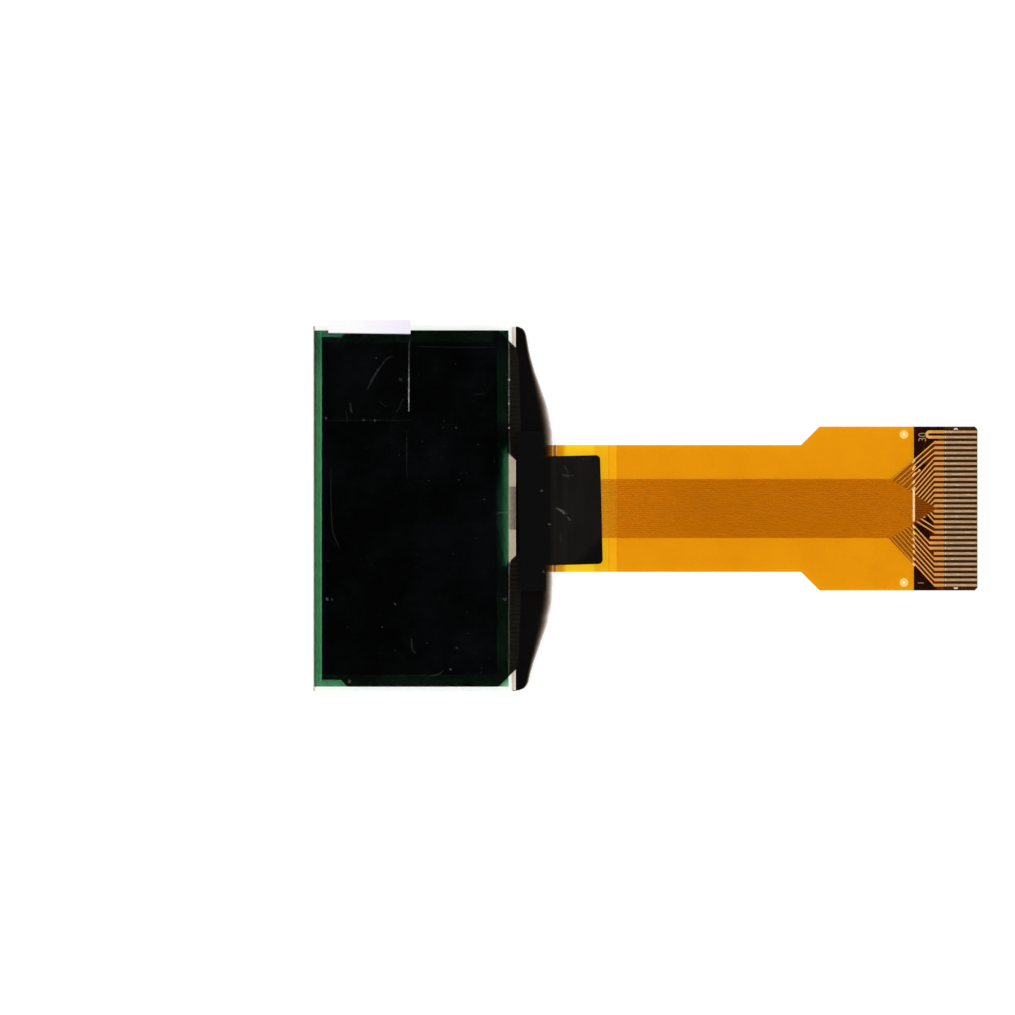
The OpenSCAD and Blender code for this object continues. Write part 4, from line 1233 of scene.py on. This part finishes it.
glint = new_material("crease_highlight_paint", glint_shader)
crease_at = stiff_lo.x - 0.02 * MM
lay_marks("crease_highlight_dashes_a", glint, "polyimide", 5, 5, 3, (crease_at, 4.51 * MM, cover_top),
          step=(0, -0.66, 0), scatter=(0.02, 0.03, 0), smallest=(0.18, 0.46, 0.008),
          largest=(0.23, 0.62, 0.012), turn=(-0.75, -0.5))
lay_marks("crease_highlight_dashes_b", glint, "polyimide", 7, 7, 5, (crease_at, -1.73 * MM, cover_top),
          step=(0, -0.6, 0), scatter=(0.02, 0.03, 0), smallest=(0.18, 0.40, 0.008),
          largest=(0.23, 0.54, 0.012), turn=(0.35, 0.6))
lay_marks("crease_highlight_line", glint, "polyimide", 24, 24, 8, (crease_at, 1.6 * MM, cover_top),
          step=(0, -0.118, 0), scatter=(0.008, 0.02, 0), smallest=(0.21, 0.3, 0.008),
          largest=(0.26, 0.36, 0.012), turn=(-0.05, 0.05))

# %% [markdown]
# Metal leads run from the panel's dots to the chip side by side, and cross the clear window. They
# are laid coarser than the real ones, which are too fine to show, and still merge into an even
# grey. The same tree lays them, each a long flat grain that runs on under the coating.

# %% Leads across the window
LEAD_PITCH = 0.095    # in millimetres
lead_count = int(2 * LEADS_HALF / (LEAD_PITCH * MM)) + 1
lead_metal = new_material("molybdenum_lead", two_tone_shader, 0.2 * MM, 2.0, "#2A2B26", "#45463E",
                          {"Roughness": 0.5})
lay_marks("window_leads", lead_metal, "wiring", lead_count, lead_count, 2,
          (ledge_x - 0.15 * MM, LEADS_MIDDLE - LEADS_HALF, rear_hi.z + 0.012 * MM),
          step=(0, LEAD_PITCH, 0), scatter=(0.01, 0.002, 0), smallest=(1.3, 0.07, 0.004),
          largest=(1.36, 0.076, 0.006))

# %% [markdown]
# A flip-lock connector's springs slide along each contact and leave short bright scuffs in the
# gold, always in the same direction.

# %% Contact scuffs
CONTACTS, SCUFFS_EACH = 30, 3
CONTACT_PITCH = 0.5    # in millimetres
# A scuff shows bare bright metal
bare_metal = new_material("scuffed_plating", two_tone_shader, 0.1 * MM, 2.0, "#C9B79A", "#EFE2C8",
                          {"Metallic": 0.5, "Roughness": 0.38})
lay_marks("contact_scuffs", bare_metal, "plating", SCUFFS_EACH * CONTACTS, CONTACTS, 11,
          ((plate_lo.x + plate_hi.x) / 2, plate_lo.y + 0.15 * MM, plate_hi.z),
          step=(0, CONTACT_PITCH, 0), scatter=(1.1, 0.08, 0), smallest=(0.25, 0.02, 0.002),
          largest=(0.8, 0.045, 0.004), turn=(-0.02, 0.02))

# %% [markdown]
# Dust and tiny dents on the protective film show as pale specks over the black panel. Most are
# under a tenth of a millimetre, and they are drawn just large enough to show.

# %% Dust on the film
def dust_shader(tree):
    """Pale lint, so thin that what is under it shows through."""
    vary = add(tree, "ShaderNodeTexNoise",
               {"Vector": position(tree)[0], "Scale": 1 / (2 * MM), "Detail": 1.0})
    share = add(tree, "ShaderNodeMapRange", {0: vary, 1: 0.35, 2: 0.75, 3: 0.01, 4: 0.07})
    lint = add(tree, "ShaderNodeBsdfPrincipled", {"Base Color": rgb("#AEB3BA"), "Roughness": 0.7})
    return add(tree, "ShaderNodeMixShader",
               {0: share, 1: add(tree, "ShaderNodeBsdfTransparent"), 2: lint})


film_middle = (film_lo + film_hi) / 2
lay_marks("film_dust", new_material("lint", dust_shader), "clear_film", 64, 1, 21,
          (film_middle.x, film_middle.y, film_hi.z), step=(0, 0, 0), scatter=(8.6, 16.2, 0),
          smallest=(0.05, 0.05, 0.006), largest=(0.16, 0.12, 0.012), turn=(-1.5, 1.5))

# %% [markdown]
# Longer marks are slivers: thin three-sided ridges that taper at both ends and follow a smooth
# path. Each point stores how strong the mark is there, and the material fades it by that.

# %% Tool for slivers
def smooth_path(points, between=8):
    """A Catmull-Rom curve through the points."""
    ends = [2 * points[0] - points[1], *points, 2 * points[-1] - points[-2]]
    path = []
    for a, b, c, d in zip(ends, ends[1:], ends[2:], ends[3:]):
        for i in range(between):
            t = i / between
            path.append(0.5 * (2 * b + (c - a) * t + (2 * a - 5 * b + 4 * c - d) * t**2
                               + (3 * b - a - 3 * c + d) * t**3))
    return [*path, points[-1]]


def slivers(name, finish, slot, paths):
    """One mesh of slivers: (points, width in mm, strength at the start, strength at the end)."""
    shell = bmesh.new()
    strength = shell.verts.layers.float.new("strength")
    for points, width, first, last in paths:
        path = smooth_path(points)
        rings = []
        for i, p in enumerate(path):
            t = i / (len(path) - 1)
            ahead = path[min(i + 1, len(path) - 1)] - path[max(i - 1, 0)]
            side = Vector((-ahead.y, ahead.x, 0)).normalized()
            half = width * MM / 2 * (0.2 + 0.8 * math.sin(math.pi * min(max(t, 0.03), 0.97)) ** 0.4)
            rise = Vector((0, 0, min(half * 0.5, 0.02 * MM)))
            ring = [shell.verts.new(q) for q in (p + side * half, p + rise, p - side * half)]
            for v in ring:
                v[strength] = first + (last - first) * t
            rings.append(ring)
        for a, b in zip(rings, rings[1:]):
            for i in range(3):
                j = (i + 1) % 3
                shell.faces.new((a[i], a[j], b[j], b[i]))
        shell.faces.new(rings[0][::-1])
        shell.faces.new(rings[-1])
    finish_piece(new_object(name, kept_mesh(name, shell)), finish, slot)


def mark_shader(tree, dull, pale):
    """A pale mark, as strong as its points say, broken up a little along its length."""
    strong = add(tree, "ShaderNodeAttribute", {}, out="Fac", attribute_name="strength")
    tone, broken = patches(tree, rgb, 0.35 * MM, 3.0, dull, pale)
    share = add(tree, "ShaderNodeMapRange", {0: broken, 1: 0.3, 2: 0.65, 3: 0.45, 4: 1.0})
    share = all_of(tree, share, strong)
    solid = add(tree, "ShaderNodeBsdfPrincipled", {"Base Color": tone, "Roughness": 0.4})
    return add(tree, "ShaderNodeMixShader",
               {0: share, 1: add(tree, "ShaderNodeBsdfTransparent"), 2: solid})


scratch_and_glint = new_material("pale_scratch_and_glint", mark_shader, "#A7ABB0", "#DADCDD")
print("a sliver's path of three points has", len(smooth_path([Vector((0, 0, 0))] * 3)), "stations")

# %% [markdown]
# The film's own marks, by their distance in millimetres from its far corner beside the pull tab:
# an arc where a nail caught it, a smudge with a hook, hairlines and a few dents.

# %% Scratches on the film
def on_film(*places):
    """Points on the film's face, in millimetres from its corner."""
    return [Vector((film_lo.x + a * MM, film_hi.y - b * MM, film_hi.z)) for a, b in places]


# Each mark: its places, its width in millimetres, and its strength from start to end
FILM_MARKS = [
    (((5.05, 5.6), (5.45, 4.63), (6.21, 3.5), (6.97, 2.6), (7.5, 2.5)), 0.16, 0.03, 0.012),
    (((5.3, 5.1), (5.9, 4.0), (6.4, 3.3)), 0.14, 0.03, 0.02),
    (((8.0, 4.55), (8.3, 4.75)), 0.3, 0.025, 0.02),
    (((3.42, 6.8), (3.45, 7.3), (3.55, 7.75)), 0.2, 0.02, 0.035),
    (((2.95, 7.6), (3.12, 8.2), (3.05, 8.7)), 0.16, 0.014, 0.01),
    (((1.05, 8.15), (1.2, 8.4)), 0.22, 0.05, 0.04),
    (((1.58, 13.1), (1.6, 16.0), (1.75, 18.8), (2.33, 20.4)), 0.12, 0.012, 0.02),
    (((8.76, 9.5), (8.74, 11.5), (8.77, 14.0)), 0.1, 0.014, 0.01),
    (((1.18, 25.2), (1.3, 25.5)), 0.22, 0.10, 0.08),
    (((1.62, 25.25), (1.75, 25.5)), 0.16, 0.04, 0.03),
    (((7.55, 25.7), (7.72, 25.9)), 0.18, 0.05, 0.04),
    (((9.2, 29.1), (9.25, 30.0), (9.6, 30.45)), 0.14, 0.03, 0.02),
    (((13.35, 29.9), (13.55, 30.0)), 0.2, 0.05, 0.05),
    (((12.78, 31.9), (12.98, 32.05)), 0.2, 0.12, 0.09),
    (((11.1, 32.6), (11.7, 32.45), (12.2, 32.1)), 0.14, 0.03, 0.02),
    (((3.25, 33.05), (3.45, 33.2)), 0.34, 0.10, 0.07),
    (((13.3, 9.1), (13.5, 9.25)), 0.2, 0.03, 0.03),
    (((17.8, 25.3), (18.2, 25.4)), 0.22, 0.06, 0.05),
    (((15.0, 6.05), (16.1, 6.0)), 0.12, 0.012, 0.012),
    (((2.1, 1.3), (2.45, 0.75), (2.8, 0.45)), 0.12, 0.02, 0.035),
    (((2.6, 1.6), (3.0, 0.9)), 0.10, 0.01, 0.015),
    (((8.4, 6.4), (8.1, 7.2), (7.7, 7.8)), 0.18, 0.010, 0.008),
    (((6.2, 6.7), (6.7, 7.1), (7.2, 7.0)), 0.16, 0.008, 0.006),
    (((17.3, 17.2), (18.3, 17.2)), 0.12, 0.05, 0.12),
    (((17.2, 1.6), (13.5, 1.6), (9.4, 1.5)), 0.1, 0.012, 0.012),
]
FILM_FADE = 0.6    # every one of them is a little fainter than its strength says
slivers("film_scratches", scratch_and_glint, "clear_film",
        [(on_film(*places), width, first * FILM_FADE, last * FILM_FADE)
         for places, width, first, last in FILM_MARKS])

# %% [markdown]
# The clear part of the pull tab shows by a painted highlight along a third of its side edge, where
# the clean cut mirrors a lamp, and by the faint line of its end, where glue has caught some dust.

# %% Edges of the pull tab
def on_tab(x, y, z, *places):
    """Points on the pull tab, in millimetres from a place on it."""
    return [Vector((x + a * MM, y + b * MM, z)) for a, b in places]


slivers("pull_tab_edges", new_material("tab_edge_glint_and_dust", mark_shader, "#8E8880", "#E8E6E2"),
        "tab_film", [
    # The first two marks are the painted highlight of the side edge, the rest the dusty stuck end
    (on_tab(tab_hi.x, 0, tab_hi.z, (-0.10, 15.9), (-0.13, 14.9), (-0.14, 14.0)), 0.11, 0.015, 0.08),
    (on_tab(tab_hi.x, 0, tab_hi.z, (-0.14, 14.1), (-0.15, 12.0), (-0.16, 10.4), (-0.16, 9.15)),
     0.12, 0.1, 0.42),
    ([Vector((tab_lo.x - 0.3 * MM, tab_lo.y - 0.02 * MM, film_hi.z)),
      Vector((tab_lo.x + 3 * MM, tab_lo.y, film_hi.z)), Vector((tab_hi.x, tab_lo.y, film_hi.z))],
     0.1, 0.006, 0.006),
    (on_tab(tab_lo.x, tab_lo.y, film_hi.z, (3.2, 0.0), (3.45, 0.05)), 0.22, 0.05, 0.03),
    (on_tab(tab_lo.x, tab_lo.y, film_hi.z, (4.3, 0.05), (4.5, -0.05)), 0.24, 0.06, 0.04),
])

# %% [markdown]
# The glass has a few chips along its edges, where it was snapped, most of them at its corners.
# One faint glint is painted where the step of the cathode ends.

# %% Chips in the glass
def on_glass(*places):
    """Points on the front glass, in millimetres in the module's frame."""
    return [Vector((x * MM, y * MM, front_hi.z)) for x, y in places]


slivers("glass_chips", new_material("chipped_glass", mark_shader, "#6E5D4E", "#A89C8E"), "glass", [
    (on_glass((-9.52, 16.85), (-9.53, 17.05), (-9.52, 17.22)), 0.14, 0.7, 0.5),
    (on_glass((9.2, -17.16), (9.45, -17.17)), 0.12, 0.95, 0.8),
    (on_glass((9.3, -17.18), (9.62, -17.16)), 0.1, 0.6, 0.9),
    (on_glass((-9.42, -16.78), (-9.3, -16.8)), 0.12, 0.9, 0.6),
    (on_glass((9.38, -0.24), (8.9, -0.23)), 0.12, 0.08, 0.12),
])
# A painted highlight, drawn with the same pale mark as the film's scratches
slivers("step_glints", scratch_and_glint, "glass",
        [(on_glass((-7.12, -16.42), (-6.9, -16.58), (-6.62, -16.7)), 0.13, 0.3, 0.4)])

# %% [markdown]
# The polarizer was cut with a blade, and a fine bead of its glue stands at the cut that faces the
# ledge. It is a thin pale line with a few blobs: partly the glue itself and partly a painted
# highlight of the cut edge, brightest over the clear window.

# %% Glue bead at the polarizer's cut
BEAD_WIDE = 0.13    # in millimetres
bead_x, bead_z = film_hi.x + 0.02 * MM, front_hi.z
# Stretches of the bead: from and to along the cut in millimetres, and its strength at both
STRETCHES = ((16.5, 15.4, 0.10, 0.10), (15.6, 11.8, 0.13, 0.16), (12.1, 8.0, 0.14, 0.12),
             (5.2, 2.0, 0.2, 0.16), (2.1, -1.9, 0.10, 0.12), (-1.8, -5.0, 0.16, 0.2),
             (-5.0, -10.0, 0.07, 0.06), (-9.8, -15.9, 0.07, 0.06))
BLOBS = ((12.15, 0.2), (7.6, 0.17), (-2.1, 0.12), (9.9, 0.1))
bead_paths = [([Vector((bead_x, (start + (end - start) * i / 3) * MM, bead_z)) for i in range(4)],
               BEAD_WIDE, first, last) for start, end, first, last in STRETCHES]
bead_paths += [([Vector((bead_x, (y + d) * MM, bead_z + 0.01 * MM)) for d in (-0.09, 0.09)],
                size, 0.75, 0.75) for y, size in BLOBS]
slivers("polarizer_bead_and_glint", new_material("glue_bead_and_edge_glint", mark_shader, "#C4C8C2", "#F4F4F0"),
        "polarizing_sheet", bead_paths)

# %% [markdown]
# The tape was pressed down with a tool, which slipped: a short scratch on the stem, a fainter one
# beside it, and flecks on the head.

# %% Marks on the tape
def on_tape(*places):
    """Points on the tape, in millimetres from the glass's edge and from the tape's middle."""
    points = [(edge_x + a * MM, pivot.y + b * MM) for a, b in places]
    return [Vector((x, y, tape_under(x) + dent(x, y) + TAPE_THICK + 3 * CLEAR)) for x, y in points]


slivers("tape_scratches", new_material("pressed_tape_mark", mark_shader, "#7C7A76", "#A9A7A2"),
        "black_tape", [
    (on_tape((-0.1, 0.25), (0.22, 0.05), (0.55, -0.18), (0.72, -0.35)), 0.3, 0.10, 0.18),
    (on_tape((0.35, 0.1), (0.75, -0.1), (1.0, -0.3)), 0.16, 0.05, 0.03),
    (on_tape((1.0, -0.55), (1.15, -0.75), (1.3, -0.95)), 0.18, 0.07, 0.05),
    (on_tape((0.55, 3.35), (1.0, 3.3), (1.6, 3.32)), 0.22, 0.05, 0.03),
    (on_tape((0.7, 4.3), (0.95, 3.7), (1.15, 3.0)), 0.22, 0.03, 0.02),
    (on_tape((0.25, -2.2), (0.35, -3.0)), 0.26, 0.02, 0.02),
    (on_tape((-0.85, -1.25), (-0.5, -1.32)), 0.16, 0.09, 0.06),
    (on_tape((-1.55, 1.85), (-1.3, 1.9)), 0.2, 0.07, 0.09),
    (on_tape((-1.3, -5.6), (-1.2, -5.9)), 0.16, 0.06, 0.06),
    (on_tape((2.3, 4.9), (3.3, 4.95)), 0.12, 0.02, 0.02),
])

# %% [markdown]
# The tooling holes are punched through stiff film and soft glue. A pale clear ring a little way
# in from each edge tints the hole's rim cream, as painted shade. It is swept round the hole's
# centre from a small section.

# %% Rings of painted shade in the tooling holes
def ring_mesh(name, centre, inner, outer, thick, around=32):
    """A closed flat ring, thinner at its inner edge."""
    corners = ((outer, 0), (outer, thick), (inner, thick * 0.7), (inner, thick * 0.3))
    shell = bmesh.new()
    rings = []
    for i in range(around):
        a = 2 * math.pi * i / around
        rings.append([shell.verts.new(centre + Vector((r * math.cos(a), r * math.sin(a), z)))
                      for r, z in corners])
    for here, there in zip(rings, rings[1:] + rings[:1]):
        for k in range(len(corners)):
            ahead = (k + 1) % len(corners)
            shell.faces.new((here[k], there[k], there[ahead], here[ahead]))
    return kept_mesh(name, shell)


def rim_shade_shader(tree):
    """A clear cream tint, deeper in places, that paints shade into the hole's rim."""
    tint, _ = patches(tree, per_face, 0.3 * MM, 2.0, "#F4CC62", "#F9DE8C")
    return clear_shader(tree, tint, mirror=0.5, roughness=0.2)


RING_THICK = 0.02 * MM
RING_INNER = 0.27    # how much of the hole's radius the glue leaves free
rim_shade_tint = new_material("hole_rim_shade", rim_shade_shader)
for hole in frame["record"]["mounts"]:
    if hole["kind"] == "bore":
        radius = hole["dims"]["r_mm"] * MM
        centre = Vector(hole["pos_m"]) - Vector((0, 0, RING_THICK / 2))
        # Each ring is a clear cream tint that paints shade into its hole's rim
        name = hole["name"] + "_glue"
        ring = ring_mesh(name, centre, radius * RING_INNER, radius - CLEAR, RING_THICK)
        finish_piece(new_object(name, ring), rim_shade_tint, "polyimide")

# %% [markdown]
# Small numbers are printed beside the first and the last contact in pale ink, turned to read
# from the side. They are text made into a thin mesh before it is put in place.

# %% Contact numbers
# Pale screen-printed ink with worn spots
ink = new_material("worn_ink", two_tone_shader, 0.12 * MM, 3.0, "#5E3820", "#C09468",
                   {"Roughness": 0.6})
# Each number, how far past the stiffener's edge, how far across, and its size in millimetres
for body, x, y, size in (("30", 0.82, 6.74, 1.08), ("1", 0.66, -7.04, 0.86)):
    curve = bpy.data.curves.new("number_" + body, "FONT")
    curve.body, curve.size, curve.extrude = body, size * MM, 0.002 * MM
    curve.align_x = curve.align_y = "CENTER"
    holder = bpy.data.objects.new("text_" + body, curve)
    scene.collection.objects.link(holder)
    mesh = settled_mesh(holder)
    bpy.data.objects.remove(holder)
    mesh.transform(Matrix.Translation((stiff_lo.x + x * MM, y * MM, cover_top + 0.001 * MM))
                   @ Matrix.Rotation(math.pi / 2, 4, "Z") @ Matrix.Scale(0.82, 4, (1, 0, 0)))
    finish_piece(new_object("contact_number_" + body, mesh), ink, "polyimide")
